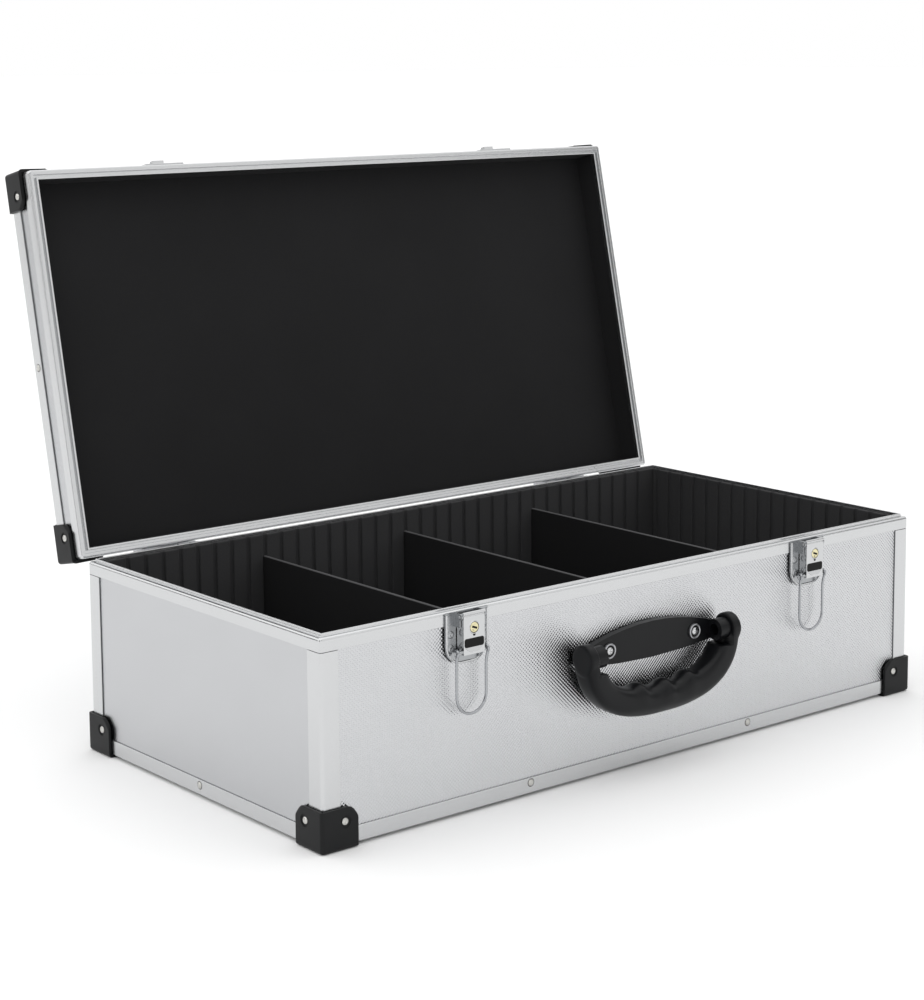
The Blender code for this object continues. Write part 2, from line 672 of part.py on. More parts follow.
def make_latch_lever(name, x, pin_place, bar_place, pivot):
    """Channel-shaped cover with the pin's barrel at its top and the bail's bar at its foot."""
    along = Vector((1, 0, 0))
    half = LEVER_WIDTH / 2
    bar_half = BAIL_ARM + BAIL_EYE_WIDTH / 2 + GAP
    front = FRONT - LEVER_OUT
    back = FRONT - GAP - PLATE - 2 * GAP
    foot = bar_place.z - BAR_RADIUS
    lever = block("latch_lever_" + name, (x - half, front, foot), (x + half, back, pin_place.z),
                  CHROME, pivot)
    cut(lever, block(lever.name + "_hollow", (x - half + LEVER_WALL, front + LEVER_WALL, foot - CUT),
                     (x + half - LEVER_WALL, back + CUT, pin_place.z + CUT), None, pivot))
    join(lever,
         rod(lever.name + "_barrel", pin_place - along * half, pin_place + along * half,
             BARREL_RADIUS, None, pivot, SMALL_SIDES),
         rod(lever.name + "_bar", bar_place - along * bar_half, bar_place + along * bar_half,
             BAR_RADIUS, None, pivot, SMALL_SIDES))
    lock = Vector((x, front, LEDGE - LOCK_DROP))
    out = Vector((0, -1, 0))
    cut(lever,
        rod(lever.name + "_bore", pin_place - along * PLATE_WIDTH, pin_place + along * PLATE_WIDTH,
            LATCH_PIN_RADIUS + PIN_GAP, None, pivot, SMALL_SIDES),
        rod(lever.name + "_lock_hole", lock - out * 2 * LEVER_WALL, lock + out * CUT,
            LOCK_RADIUS + GAP, None, pivot),
        block(lever.name + "_window", (x - WINDOW_WIDTH / 2, front - CUT, LEDGE - WINDOW_DROP[1]),
              (x + WINDOW_WIDTH / 2, front + 2 * LEVER_WALL, LEDGE - WINDOW_DROP[0]), None, pivot))
    lock_pivot = new_pivot("lock_plug_pivot_" + name, lock, pivot)
    rod("lock_plug_" + name, lock - out * (LOCK_LENGTH - LEVER_WALL), lock + out * GAP, LOCK_RADIUS,
        BRASS, lock_pivot)


def make_bail(name, bar_place, pivot):
    """Wire loop that hangs from two curled eyes on the lever's bar."""
    wire_top = -(BAR_RADIUS + GAP + BAIL_EYE) / 2
    path = [(-BAIL_ARM, 0, wire_top)]
    for x, z in arc((0, BAIL_ARM - BAIL_LENGTH), BAIL_ARM, 180, 360, 2 * ARC_STEPS):
        path.append((x, 0, z))
    path.append((BAIL_ARM, 0, wire_top))
    bail = tube("latch_bail_" + name, path, [BAIL_WIRE] * len(path), 2, CHROME, pivot)
    place(bail, bar_place)
    ring = (arc((0, 0), BAIL_EYE, 0, 360 - 360 / SMALL_SIDES, SMALL_SIDES - 1),
            arc((0, 0), BAR_RADIUS + GAP, 0, 360 - 360 / SMALL_SIDES, SMALL_SIDES - 1))
    for side in (-1, 1):
        eye = slab(bail.name + "_eye" + str(side), ring, BAIL_EYE_WIDTH, None, pivot)
        place(eye, bar_place + Vector((side * BAIL_ARM, 0, 0)), (0, math.radians(90), 0))
        join(bail, eye)


def make_catch(name, x, bar_place, pivot):
    """Plate on the lid's front with the hook that the swung-up bail sits behind."""
    back = FRONT - GAP
    front = back - CATCH_PLATE
    low = LID_FACE + CATCH_RISE
    catch = block("lid_catch_" + name, (x - CATCH_WIDTH / 2, front, low),
                  (x + CATCH_WIDTH / 2, back, low + CATCH_HEIGHT), CHROME, pivot)
    wire_out = front - GAP - BAIL_WIRE
    wire_z = bar_place.z + math.sqrt(BAIL_LENGTH ** 2 - (wire_out - bar_place.y) ** 2)
    droop = BAIL_ARM - math.sqrt(BAIL_ARM ** 2 - (HOOK_WIDTH / 2) ** 2)
    shelf_top = wire_z - droop - BAIL_WIRE - GAP
    lip_inner = wire_out - BAIL_WIRE - GAP
    join(catch,
         block(catch.name + "_shelf", (x - HOOK_WIDTH / 2, lip_inner - HOOK_LIP, shelf_top - HOOK_LIP),
               (x + HOOK_WIDTH / 2, front + CATCH_PLATE / 2, shelf_top), None, pivot),
         block(catch.name + "_lip", (x - HOOK_WIDTH / 2, lip_inner - HOOK_LIP, shelf_top - HOOK_LIP),
               (x + HOOK_WIDTH / 2, lip_inner, shelf_top + HOOK_LIP_HEIGHT), None, pivot))


# ---------------------------------------------------------------- handle

def arched_outline():
    """Handle plate, seen from the front: x across, y up from the grip's axis."""
    half = HANDLE_PLATE_HALF
    steps = 2 * ARC_STEPS
    top = []
    for step in range(steps + 1):
        x = half - 2 * half * step / steps
        rise = HANDLE_PLATE_END_RISE + (HANDLE_PLATE_RISE - HANDLE_PLATE_END_RISE) * (1 - (x / half) ** 2)
        top.append((x, rise))
    shoulder = -HANDLE_PLATE_FALL + HANDLE_PLATE_BOW
    return top + [(-half, -BOSS_RADIUS), (-half / 2, shoulder), (0, -HANDLE_PLATE_FALL),
                  (half / 2, shoulder), (half, -BOSS_RADIUS)]


def make_handle_plate():
    """Arched backing plate with a round boss at each end for the grip's stubs."""
    back = FRONT - GAP
    front = back - HANDLE_PLATE
    plate = slab("handle_plate", [arched_outline()], HANDLE_PLATE, BLACK_PLASTIC)
    place(plate, (0, (back + front) / 2, HANDLE_Z), (math.radians(90), 0, 0))
    axis_y = FRONT - HANDLE_OUT
    for side in (-1, 1):
        inner = Vector((side * BOSS_INNER, axis_y, HANDLE_Z))
        outer = Vector((side * BOSS_OUTER, axis_y, HANDLE_Z))
        low_x, high_x = sorted((side * (BOSS_INNER + BITE), side * (HANDLE_PLATE_HALF - BITE)))
        join(plate, rod(plate.name + "_boss" + str(side), inner, outer, BOSS_RADIUS),
             block(plate.name + "_web" + str(side),
                   (low_x, axis_y, HANDLE_Z - BOSS_RADIUS + BITE),
                   (high_x, front + BITE, HANDLE_Z + HANDLE_PLATE_END_RISE)))
        stub = Vector((side * (GRIP_STUB_LENGTH + GAP), 0, 0))
        past = Vector((side * CUT, 0, 0))
        cut(plate, rod(plate.name + "_bore" + str(side), outer - stub, outer + past,
                       GRIP_STUB_RADIUS + PIN_GAP))
        make_handle_screw(plate, side, back, front)


def make_handle_screw(plate, side, back, front):
    name = "handle_screw_" + ("left" if side < 0 else "right")

    def on_axis(y):
        return Vector((side * SCREW_X, y, HANDLE_Z))

    head_back = front - GAP
    head_front = head_back - SCREW_HEAD_HEIGHT
    cut(plate, rod(name + "_hole", on_axis(back + CUT), on_axis(front - CUT), SCREW_SHANK + GAP,
                   sides=SMALL_SIDES))
    screw = rod(name, on_axis(head_back), on_axis(head_front), SCREW_HEAD, CHROME)
    join(screw, rod(name + "_shank", on_axis(back), on_axis((head_back + head_front) / 2), SCREW_SHANK,
                    sides=SMALL_SIDES))


def superellipse(half_x, drop, squareness, angle):
    """A point on the lower half of a superellipse; the angle runs from 0 (right) to pi (left)."""
    cosine, sine = math.cos(angle), math.sin(angle)
    power = 2 / squareness
    return Vector((math.copysign(abs(cosine) ** power, cosine) * half_x, 0, -drop * abs(sine) ** power))


def make_grip():
    """Bow of the carrying handle, with flat round ends that turn on stubs in the bosses."""
    axis = Vector((0, FRONT - HANDLE_OUT, HANDLE_Z))
    pivot = new_pivot("handle_pivot", axis)
    steps = 6 * ARC_STEPS
    points, radii = [], []
    for step in range(steps + 1):
        angle = GRIP_START + (math.pi - 2 * GRIP_START) * step / steps
        outer = superellipse(*GRIP_OUTER, GRIP_FULLNESS, angle)
        inner = superellipse(*GRIP_INNER, GRIP_SQUARENESS, angle)
        points.append((outer + inner) / 2)
        radii.append((outer - inner).length / 2)
    grip = tube("handle_grip", points, radii, 4, BLACK_PLASTIC, pivot)
    place(grip, axis)
    past = 2 * GRIP_OUTER[0]
    cut(grip, block("handle_grip_trim", (-past, axis.y - past, HANDLE_Z - HANDLE_PLATE_FALL + GAP),
                    (past, axis.y + past, HANDLE_Z + past), None, pivot))
    end_inner = BOSS_OUTER + GAP
    for side in (-1, 1):
        inner = axis + Vector((side * end_inner, 0, 0))
        outer = axis + Vector((side * GRIP_OUTER[0], 0, 0))
        stub = axis + Vector((side * (BOSS_OUTER - GRIP_STUB_LENGTH), 0, 0))
        low_x, high_x = sorted((inner.x, outer.x - side * BITE))
        join(grip,
             rod(grip.name + "_end" + str(side), inner, outer, GRIP_END_RADIUS, None, pivot),
             block(grip.name + "_cheek" + str(side),
                   (low_x, axis.y - GRIP_END_RADIUS + BITE, HANDLE_Z - 2 * GRIP_END_RADIUS),
                   (high_x, axis.y + GRIP_END_RADIUS - BITE, HANDLE_Z), None, pivot),
             rod(grip.name + "_stub" + str(side), stub, outer - Vector((side * BITE, 0, 0)),
                 GRIP_STUB_RADIUS, None, pivot))


# ---------------------------------------------------------------- the case

def make_base():
    walls_bottom = FLANGE_INNER + GAP
    walls_top = LEDGE - RIM_WEB - GAP
    make_wall_panels("base", walls_bottom, walls_top)
    make_flat_panel("base_bottom_panel", 0, 1)
    make_edge_profile("base_edge_profile", 0, 1)
    make_corner_posts(FRAME_BOTTOM + PROFILE_HEIGHT + GAP, LEDGE - RIM_SKIRT - GAP)
    make_base_rim()
    make_protectors("base", FRAME_BOTTOM, 1)
    make_base_lining()


def make_lid():
    pivot = new_pivot("lid_pivot", HINGE_AXIS)
    face = LID_TOP - PROFILE_STAND
    bar_top = make_lid_rim(pivot)
    make_wall_panels("lid", bar_top + GAP, face - FLANGE_INNER - GAP, pivot)
    make_flat_panel("lid_top_panel", face, -1, pivot)
    make_edge_profile("lid_edge_profile", face, -1, pivot)
    make_protectors("lid", LID_TOP, -1, pivot)
    make_lid_lining(bar_top + GAP, pivot)
    return pivot


def main():
    make_base()
    lid_pivot = make_lid()
    make_hinges(lid_pivot)
    for name, side in (("left", -1), ("right", 1)):
        make_latch(name, side * LATCH_X, lid_pivot)
    make_handle_plate()
    make_grip()
    make_dividers()
    lid_pivot.rotation_euler = (-OPEN_ANGLE, 0, 0)


main()
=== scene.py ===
# %% [markdown]
# # Aluminium attache case
#
# An open case of the kind that service engineers and salespeople carry: board panels faced with
# embossed aluminium, held in aluminium extrusions, with black corner protectors, two draw latches,
# a moulded handle, a ribbed lining and lift-out dividers.
#
# The moving frame of the case is loaded first. Every piece made here is placed from that frame's
# boxes, rides on one of its bodies, and so moves with the lid, the latches or the handle.

# %% Load the frame
import json
import math

import bmesh
import bpy
from mathutils import Matrix, Vector


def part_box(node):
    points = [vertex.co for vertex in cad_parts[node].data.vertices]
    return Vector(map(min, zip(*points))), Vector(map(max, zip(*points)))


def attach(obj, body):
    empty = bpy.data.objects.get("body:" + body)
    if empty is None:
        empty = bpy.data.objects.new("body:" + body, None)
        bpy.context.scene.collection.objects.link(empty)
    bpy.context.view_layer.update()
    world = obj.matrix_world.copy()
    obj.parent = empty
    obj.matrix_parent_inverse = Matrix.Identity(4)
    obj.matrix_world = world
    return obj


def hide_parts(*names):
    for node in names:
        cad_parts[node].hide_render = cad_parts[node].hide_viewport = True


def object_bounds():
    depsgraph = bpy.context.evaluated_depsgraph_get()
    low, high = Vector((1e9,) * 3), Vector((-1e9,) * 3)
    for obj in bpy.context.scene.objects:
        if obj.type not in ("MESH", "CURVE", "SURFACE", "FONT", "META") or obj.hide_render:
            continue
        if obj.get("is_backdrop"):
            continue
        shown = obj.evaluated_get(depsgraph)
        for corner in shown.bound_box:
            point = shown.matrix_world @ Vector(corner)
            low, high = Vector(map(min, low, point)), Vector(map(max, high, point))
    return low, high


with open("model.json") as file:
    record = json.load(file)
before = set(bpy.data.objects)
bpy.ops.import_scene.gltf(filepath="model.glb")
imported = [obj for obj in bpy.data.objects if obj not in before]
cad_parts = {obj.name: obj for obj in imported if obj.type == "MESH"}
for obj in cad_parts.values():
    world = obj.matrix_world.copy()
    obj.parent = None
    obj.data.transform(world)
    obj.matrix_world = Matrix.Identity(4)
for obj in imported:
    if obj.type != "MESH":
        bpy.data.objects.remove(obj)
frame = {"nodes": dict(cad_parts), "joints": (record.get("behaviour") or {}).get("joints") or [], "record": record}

MM = 0.001
cad_low, cad_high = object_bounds()
print("case, open:", [round(side / MM, 1) for side in cad_high - cad_low], "mm")

# %% [markdown]
# The lid is drawn shut, where its walls are level and square to the axes, and then swung open about
# the hinge. The hinge's place and its range come from the frame's joint, so the drawn lid lands
# exactly on the real one. The same turn, backwards, brings a lid node's mesh home to be worked on.

# %% The lid's swing and the case's levels
lid_hinge = next(joint for joint in frame["joints"] if joint["name"] == "lid_hinge")
hinge_place = Vector(lid_hinge["pos_m"])
shut_turn = Matrix.Rotation(math.radians(lid_hinge["range_deg"][0]), 4, Vector(lid_hinge["axis"]))
TO_SHUT = Matrix.Translation(hinge_place) @ shut_turn @ Matrix.Translation(-hinge_place)
TO_OPEN = TO_SHUT.inverted()

GAP = 0.3 * MM                # air between parts that don't touch
TONGUE_HEIGHT = 2 * MM        # the base rim's tongue, which locates the lid
rim_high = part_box("base_rim")[1]
HALF_WIDTH = rim_high.x
HALF_DEPTH = rim_high.y
LEDGE = rim_high.z - TONGUE_HEIGHT
LID_FACE = LEDGE + GAP
LID_HEIGHT = 31 * MM
LID_TOP = LID_FACE + LID_HEIGHT
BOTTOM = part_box("base_edge_profile")[0].z
FRONT = -HALF_DEPTH
BACK = HALF_DEPTH
CORNER_RADIUS = 2.5 * MM      # of the bends in plan
print("ledge at", round(LEDGE / MM, 1), "mm, lid top when shut at", round(LID_TOP / MM, 1), "mm")

# %% [markdown]
# A body's name is looked up from a node's name, so that a detailed piece always rides where the node
# it stands for rides.

# %% Who rides where
BODY_OF = {node: body for body, nodes in frame["record"]["behaviour"]["bodies"].items() for node in nodes}


def stand_for(piece, node, hide=True):
    """The piece rides with a node; where hide is true the node isn't shown."""
    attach(piece, BODY_OF[node])
    if hide:
        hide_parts(node)
    return piece


# %% [markdown]
# ## Colours and nodes
#
# Colours are written the way a paint chart gives them, as sRGB hex, and turned to the linear values
# that a shader multiplies. One small helper adds a node, sets it and wires its inputs.

# %% Colour and node helpers
def linear(hex_colour):
    """sRGB hex, such as c8c9cb, to linear RGBA."""
    channels = [int(hex_colour[place:place + 2], 16) / 255 for place in (0, 2, 4)]
    return (*[c / 12.92 if c <= 0.04045 else ((c + 0.055) / 1.055) ** 2.4 for c in channels], 1)


def add_node(tree, kind, settings=None, **inputs):
    """Add a node. settings are its properties. inputs are values or other nodes' sockets, by name,
    with _ for a space, or _0, _1 and so on for sockets that share a name."""
    node = tree.nodes.new(kind)
    for name, value in (settings or {}).items():
        setattr(node, name, value)
    for name, value in inputs.items():
        socket = node.inputs[int(name[1:])] if name[0] == "_" else node.inputs[name.replace("_", " ")]
        if isinstance(value, bpy.types.NodeSocket):
            tree.links.new(value, socket)
        else:
            socket.default_value = value
    return node


def start_material(name, colour, metallic, roughness, ior=None):
    """A Principled material with its plain values set, its tree and its shader. Metals keep the
    default IOR."""
    material = bpy.data.materials.new(name)
    material.use_nodes = True
    tree = material.node_tree
    shader = tree.nodes["Principled BSDF"]
    shader.inputs["Base Color"].default_value = linear(colour)
    shader.inputs["Metallic"].default_value = metallic
    shader.inputs["Roughness"].default_value = roughness
    if ior is not None:
        shader.inputs["IOR"].default_value = ior
    material.diffuse_color = linear(colour)
    return material, tree, shader


def per_metre(millimetres):
    """A noise texture's scale for features of this size."""
    return 1 / (millimetres * MM)


print("mid grey c8c9cb is", [round(c, 3) for c in linear("c8c9cb")])

# %% [markdown]
# ## Embossed aluminium sheet
#
# The panels are thin aluminium sheet rolled with a fine diamond pattern and glued to board. The
# rollers leave rows of tiny pyramids, which break up the reflection and make the sheet look like
# frosted silk. Real pyramids would need a million faces. A bump node would blur them, because it
# compares heights a whole dot of the picture apart, and the rows are hardly wider than that. So the
# slope of every pyramid's side is worked out directly from two crossed sine waves, and handed to the
# shader as a normal map. Where everything around is white, all sides of a pyramid look alike; next
# to something dark, such as the handle, some sides mirror it and the diamonds stand out. The same
# slopes also make the colour a little lighter and darker from side to side: painted shade, so that
# the diamonds show faintly everywhere. The real rows are about 1.5 mm apart. They are drawn 1.9 mm
# apart, so that they don't vanish. The end walls are cut from sheet that is pressed flatter, so the
# eye sees a plainer silver there, and their colour is painted slightly greyer, as painted shade.

# %% Material: embossed aluminium
PYRAMID = 1.9                 # mm between rows
PYRAMID_SLOPE = 0.15          # how steep the sides are, as a share of a full tilt
SIDE_SLOPE = 0.05             # the end walls' sheet is pressed flatter
CLOUD_SCALE = 0.02            # cloudy patches of about 50 mm, on a map in millimetres
CLOUD_DEPTH = 0.06            # the patches' share of the brightness
DIAMOND_PAINTED_SHADE = 0.02          # painted shade on the pyramids' sides, its share of the brightness


def slope(tree, along, pitch):
    """The slope of a row of pyramids, -1 to 1, along a coordinate in millimetres."""
    turns = add_node(tree, "ShaderNodeMath", {"operation": "MULTIPLY"}, _0=along, _1=math.tau / pitch)
    return add_node(tree, "ShaderNodeMath", {"operation": "SINE"}, _0=turns.outputs[0]).outputs[0]


def make_embossed_aluminium(name, colour, steepness):
    material, tree, shader = start_material(name, colour, 1, 0.26)
    place = add_node(tree, "ShaderNodeUVMap", {"uv_map": "millimetres"})
    split = add_node(tree, "ShaderNodeSeparateXYZ", Vector=place.outputs["UV"])
    across, up = split.outputs["X"], split.outputs["Y"]
    falling = add_node(tree, "ShaderNodeMath", {"operation": "ADD"}, _0=across, _1=up)
    rising = add_node(tree, "ShaderNodeMath", {"operation": "SUBTRACT"}, _0=across, _1=up)
    pitch = PYRAMID * math.sqrt(2)
    first = slope(tree, falling.outputs[0], pitch)
    second = slope(tree, rising.outputs[0], pitch)
    sideways = add_node(tree, "ShaderNodeMath", {"operation": "ADD"}, _0=first, _1=second)
    upward = add_node(tree, "ShaderNodeMath", {"operation": "SUBTRACT"}, _0=first, _1=second)
    lean = add_node(tree, "ShaderNodeCombineXYZ", X=sideways.outputs[0], Y=upward.outputs[0], Z=0.0)
    half_lean = add_node(tree, "ShaderNodeVectorMath", {"operation": "SCALE"},
                         _0=lean.outputs["Vector"], Scale=steepness / 2)
    packed = add_node(tree, "ShaderNodeVectorMath", {"operation": "ADD"},
                      _0=half_lean.outputs["Vector"], _1=(0.5, 0.5, 1.0))
    normal = add_node(tree, "ShaderNodeNormalMap", {"uv_map": "millimetres"},
                      Color=packed.outputs["Vector"])
    tree.links.new(normal.outputs["Normal"], shader.inputs["Normal"])
    # Painted shade: the product of the two slopes lightens and darkens the pyramids' sides a little in the colour.
    both = add_node(tree, "ShaderNodeMath", {"operation": "MULTIPLY"}, _0=first, _1=second)
    drift = add_node(tree, "ShaderNodeTexNoise", Vector=place.outputs["UV"], Scale=CLOUD_SCALE, Detail=3.0)
    cloud = add_node(tree, "ShaderNodeMath", {"operation": "MULTIPLY_ADD"}, _0=drift.outputs["Fac"],
                     _1=CLOUD_DEPTH, _2=0.95)
    shade = add_node(tree, "ShaderNodeMath", {"operation": "MULTIPLY_ADD"}, _0=both.outputs[0],
                     _1=DIAMOND_PAINTED_SHADE, _2=cloud.outputs[0])
    tint = add_node(tree, "ShaderNodeVectorMath", {"operation": "SCALE"}, _0=linear(colour)[:3],
                    Scale=shade.outputs[0])
    tree.links.new(tint.outputs["Vector"], shader.inputs["Base Color"])
    return material


EMBOSSED = make_embossed_aluminium("embossed_aluminium", "cfd0d2", PYRAMID_SLOPE)
# Painted shade: the end walls' sheet has its colour painted greyer than the front's.
EMBOSSED_SIDES_PAINTED_SHADE = make_embossed_aluminium("embossed_aluminium_sides_painted_shade", "c3c4c6", SIDE_SLOPE)
print("diamond rows every", PYRAMID, "mm, in", [sheet.name for sheet in (EMBOSSED, EMBOSSED_SIDES_PAINTED_SHADE)])

# %% [markdown]
# ## Anodised extrusion
#
# The frame strips are extruded, drawn through a die and then anodised satin. What the eye sees is a
# smoother, brighter silver than the sheet, with faint lines. Lines of a tenth of a millimetre are too
# fine to show from here, so they are drawn 0.6 mm wide.

# %% Material: satin anodised extrusion
def make_anodised_extrusion():
    material, tree, shader = start_material("anodised_extrusion", "cdcecf", 1, 0.24)
    place = add_node(tree, "ShaderNodeTexCoord")
    stretch = add_node(tree, "ShaderNodeMapping", Vector=place.outputs["Object"], Scale=(0.06, 0.06, 1))
    lines = add_node(tree, "ShaderNodeTexNoise", Vector=stretch.outputs["Vector"],
                     Scale=per_metre(0.6), Detail=2.0)
    rough = add_node(tree, "ShaderNodeMapRange", Value=lines.outputs["Fac"], To_Min=0.21, To_Max=0.27)
    tree.links.new(rough.outputs["Result"], shader.inputs["Roughness"])
    bump = add_node(tree, "ShaderNodeBump", Height=lines.outputs["Fac"], Strength=0.15,
                    Distance=0.01 * MM)
    tree.links.new(bump.outputs["Normal"], shader.inputs["Normal"])
    return material


EXTRUSION = make_anodised_extrusion()
print("extrusion lines every 0.6 mm")

# %% [markdown]
# ## Chromed steel, wire, rivets, zinc plate and brass
#
# The latches are pressed steel, polished and chromed: nearly a mirror, with a trace of orange peel
# from the pressing. The latch plate's field, behind the lever, is the same steel left as it was
# pressed, so it stays a darker grey than the chrome. The bails are bright drawn wire. The rivets are
# soft aluminium with a duller head, and each stands in a ring of dark metal that outlines it:
# painted shade round the head. The hinges are zinc plated, which is greyer and slightly cloudy. The
# key plug is turned brass, the one warm spot on the case. One function serves them all, because they
# differ only in colour, in gloss and in the size of the patches over which the gloss drifts.

# %% Materials: small metals
def make_small_metal(name, colour, roughness, spread, grain_mm):
    """A plated metal whose roughness drifts by spread over patches of the given size."""
    material, tree, shader = start_material(name, colour, 1, roughness)
    place = add_node(tree, "ShaderNodeTexCoord")
    patches = add_node(tree, "ShaderNodeTexNoise", Vector=place.outputs["Object"],
                       Scale=per_metre(grain_mm), Detail=3.0)
    rough = add_node(tree, "ShaderNodeMapRange", Value=patches.outputs["Fac"],
                     To_Min=max(roughness - spread, 0.02), To_Max=roughness + spread)
    tree.links.new(rough.outputs["Result"], shader.inputs["Roughness"])
    bump = add_node(tree, "ShaderNodeBump", Height=patches.outputs["Fac"], Strength=0.3,
                    Distance=0.02 * MM)
    tree.links.new(bump.outputs["Normal"], shader.inputs["Normal"])
    return material


CHROME = make_small_metal("chromed_steel", "c9cacb", 0.09, 0.04, 3)
PRESSED = make_small_metal("unpolished_steel", "a4a6a8", 0.24, 0.08, 1.5)
WIRE_STEEL = make_small_metal("drawn_steel_wire", "a6a8ab", 0.08, 0.03, 1)
RIVET = make_small_metal("aluminium_rivet", "c9c8c4", 0.30, 0.08, 1.2)
# Painted shade: a dark metal for the ring that outlines each edge rivet's head.
RIVET_RING_SHADE = make_small_metal("painted_shade_ring_aluminium", "6f6e6c", 0.45, 0.08, 1)
ZINC = make_small_metal("zinc_plate", "b4b5b8", 0.30, 0.10, 4)
BRASS = make_small_metal("turned_brass", "e4dcb4", 0.22, 0.06, 0.8)
small_metals = (CHROME, PRESSED, WIRE_STEEL, RIVET, RIVET_RING_SHADE, ZINC, BRASS)
print("small metals:", [metal.name for metal in small_metals])

# %% [markdown]
# ## Moulded plastics
#
# The corner protectors are injection-moulded ABS out of an eroded mould, which leaves an even matt
# grain of about 0.4 mm, drawn 0.5 mm wide. The handle is softer PVC-like plastic with a silkier
# surface, so it catches broad dim highlights along the grip. Both are charcoal, not pure black. Only
# the black in the latches' windows, keyways and pinholes and in the screws' cups is as dark as a
# hole: it is painted shade for those holes and openings.

# %% Materials: moulded plastics
HANDLED = 0.06                # how far wear and cleaning shift the gloss, up and down
HANDLED_PATCH = 15            # mm across a worn patch


def make_plastic(name, colour, roughness, grain_mm, grain_height):
    material, tree, shader = start_material(name, colour, 0, roughness, 1.5)
    shader.inputs["Specular IOR Level"].default_value = 0.2
    place = add_node(tree, "ShaderNodeTexCoord")
    grain = add_node(tree, "ShaderNodeTexNoise", Vector=place.outputs["Object"],
                     Scale=per_metre(grain_mm), Detail=2.0)
    patches = add_node(tree, "ShaderNodeTexNoise", Vector=place.outputs["Object"],
                       Scale=per_metre(HANDLED_PATCH), Detail=2.0)
    rough = add_node(tree, "ShaderNodeMapRange", Value=patches.outputs["Fac"],
                     To_Min=roughness - HANDLED, To_Max=roughness + HANDLED)
    tree.links.new(rough.outputs["Result"], shader.inputs["Roughness"])
    bump = add_node(tree, "ShaderNodeBump", Height=grain.outputs["Fac"], Strength=0.5,
                    Distance=grain_height)
    tree.links.new(bump.outputs["Normal"], shader.inputs["Normal"])
    return material


ABS = make_plastic("moulded_abs", "141516", 0.44, 0.5, 0.05 * MM)
PVC = make_plastic("moulded_pvc", "0d0e10", 0.32, 0.8, 0.03 * MM)
# Painted shade: a near-black, as dark as a hole, for the latches' windows, keyways and pinholes and the screws'
# cups.
HOLE_SHADE_BLACK = make_plastic("painted_hole_shade", "060606", 0.5, 0.5, 0.05 * MM)
print("plastics:", [plastic.name for plastic in (ABS, PVC, HOLE_SHADE_BLACK)])

# %% [markdown]
# ## Lining and felt
#
# The walls are lined with moulded foam strips with a short nap, the dividers and the lid with
# flocked felt. Fibres stand on end, so the cloth is darkest face-on and lifts at grazing angles: the
# shader's sheen does that. Fibres are far below a millimetre, so the nap is drawn at 0.7 mm.

# %% Materials: foam lining and felt
def make_nap(name, colour, sheen, nap_mm, nap_height):
    material, tree, shader = start_material(name, colour, 0, 0.92, 1.45)
    shader.inputs["Sheen Weight"].default_value = sheen
    shader.inputs["Sheen Roughness"].default_value = 0.5
    shader.inputs["Sheen Tint"].default_value = linear("9a9a9c")
    shader.inputs["Specular IOR Level"].default_value = 0.25
    place = add_node(tree, "ShaderNodeTexCoord")
    nap = add_node(tree, "ShaderNodeTexNoise", Vector=place.outputs["Object"],
                   Scale=per_metre(nap_mm), Detail=4.0)
    wear = add_node(tree, "ShaderNodeTexNoise", Vector=place.outputs["Object"],
                    Scale=per_metre(60), Detail=3.0)
    level = add_node(tree, "ShaderNodeMath", {"operation": "MULTIPLY_ADD"}, _0=nap.outputs["Fac"],
                     _1=0.5, _2=0.75)
    patchy = add_node(tree, "ShaderNodeMath", {"operation": "MULTIPLY_ADD"}, _0=wear.outputs["Fac"],
                      _1=0.3, _2=0.85)
    shade = add_node(tree, "ShaderNodeMath", {"operation": "MULTIPLY"}, _0=level.outputs[0],
                     _1=patchy.outputs[0])
    tint = add_node(tree, "ShaderNodeVectorMath", {"operation": "SCALE"}, _0=linear(colour)[:3],
                    Scale=shade.outputs[0])
    tree.links.new(tint.outputs["Vector"], shader.inputs["Base Color"])
    bump = add_node(tree, "ShaderNodeBump", Height=nap.outputs["Fac"], Strength=0.6,
                    Distance=nap_height)
    tree.links.new(bump.outputs["Normal"], shader.inputs["Normal"])
    return material


FOAM = make_nap("ribbed_foam", "333334", 0.08, 0.7, 0.12 * MM)
FELT = make_nap("flocked_felt", "1b1b1c", 0.05, 0.6, 0.08 * MM)
BOARD_FELT = make_nap("divider_felt", "131314", 0.08, 0.6, 0.08 * MM)
# Painted light: a lighter felt for the dividers' faces that look up.
LIT_TOP_FELT = make_nap("divider_felt_painted_top_light", "4a4a4b", 0.15, 0.6, 0.08 * MM)
print("naps:", [nap.name for nap in (FOAM, FELT, BOARD_FELT, LIT_TOP_FELT)])

# %% [markdown]
# ## Mesh helpers
#
# Machined and pressed metal never has a perfectly sharp edge. The plain frame nodes do, and a sharp
# edge gives no highlight, which is the first thing that gives a model away. So most metal and
# plastic pieces start as a copy of their node's mesh: welded, its flat triangles merged into whole
# faces, every real edge rounded, and weighted normals so that flats stay flat.

# %% Mesh helpers
SMOOTH_ANGLE = math.radians(38)


def new_piece(name, mesh, material):
    piece = bpy.data.objects.new(name, mesh)
    bpy.context.scene.collection.objects.link(piece)
    mesh.materials.clear()
    mesh.materials.append(material)
    return piece


def keep_flats_flat(piece):
    modifier = piece.modifiers.new("flat faces stay flat", "WEIGHTED_NORMAL")
    modifier.keep_sharp = True


def finish_mesh(name, bm, material, weighted=True):
    """Close a bmesh into a smooth-shaded piece."""
    bmesh.ops.recalc_face_normals(bm, faces=bm.faces)
    mesh = bpy.data.meshes.new(name)
    bm.to_mesh(mesh)
    bm.free()
    mesh.shade_smooth()
    mesh.set_sharp_from_angle(angle=SMOOTH_ANGLE)
    piece = new_piece(name, mesh, material)
    if weighted:
        keep_flats_flat(piece)
    return piece


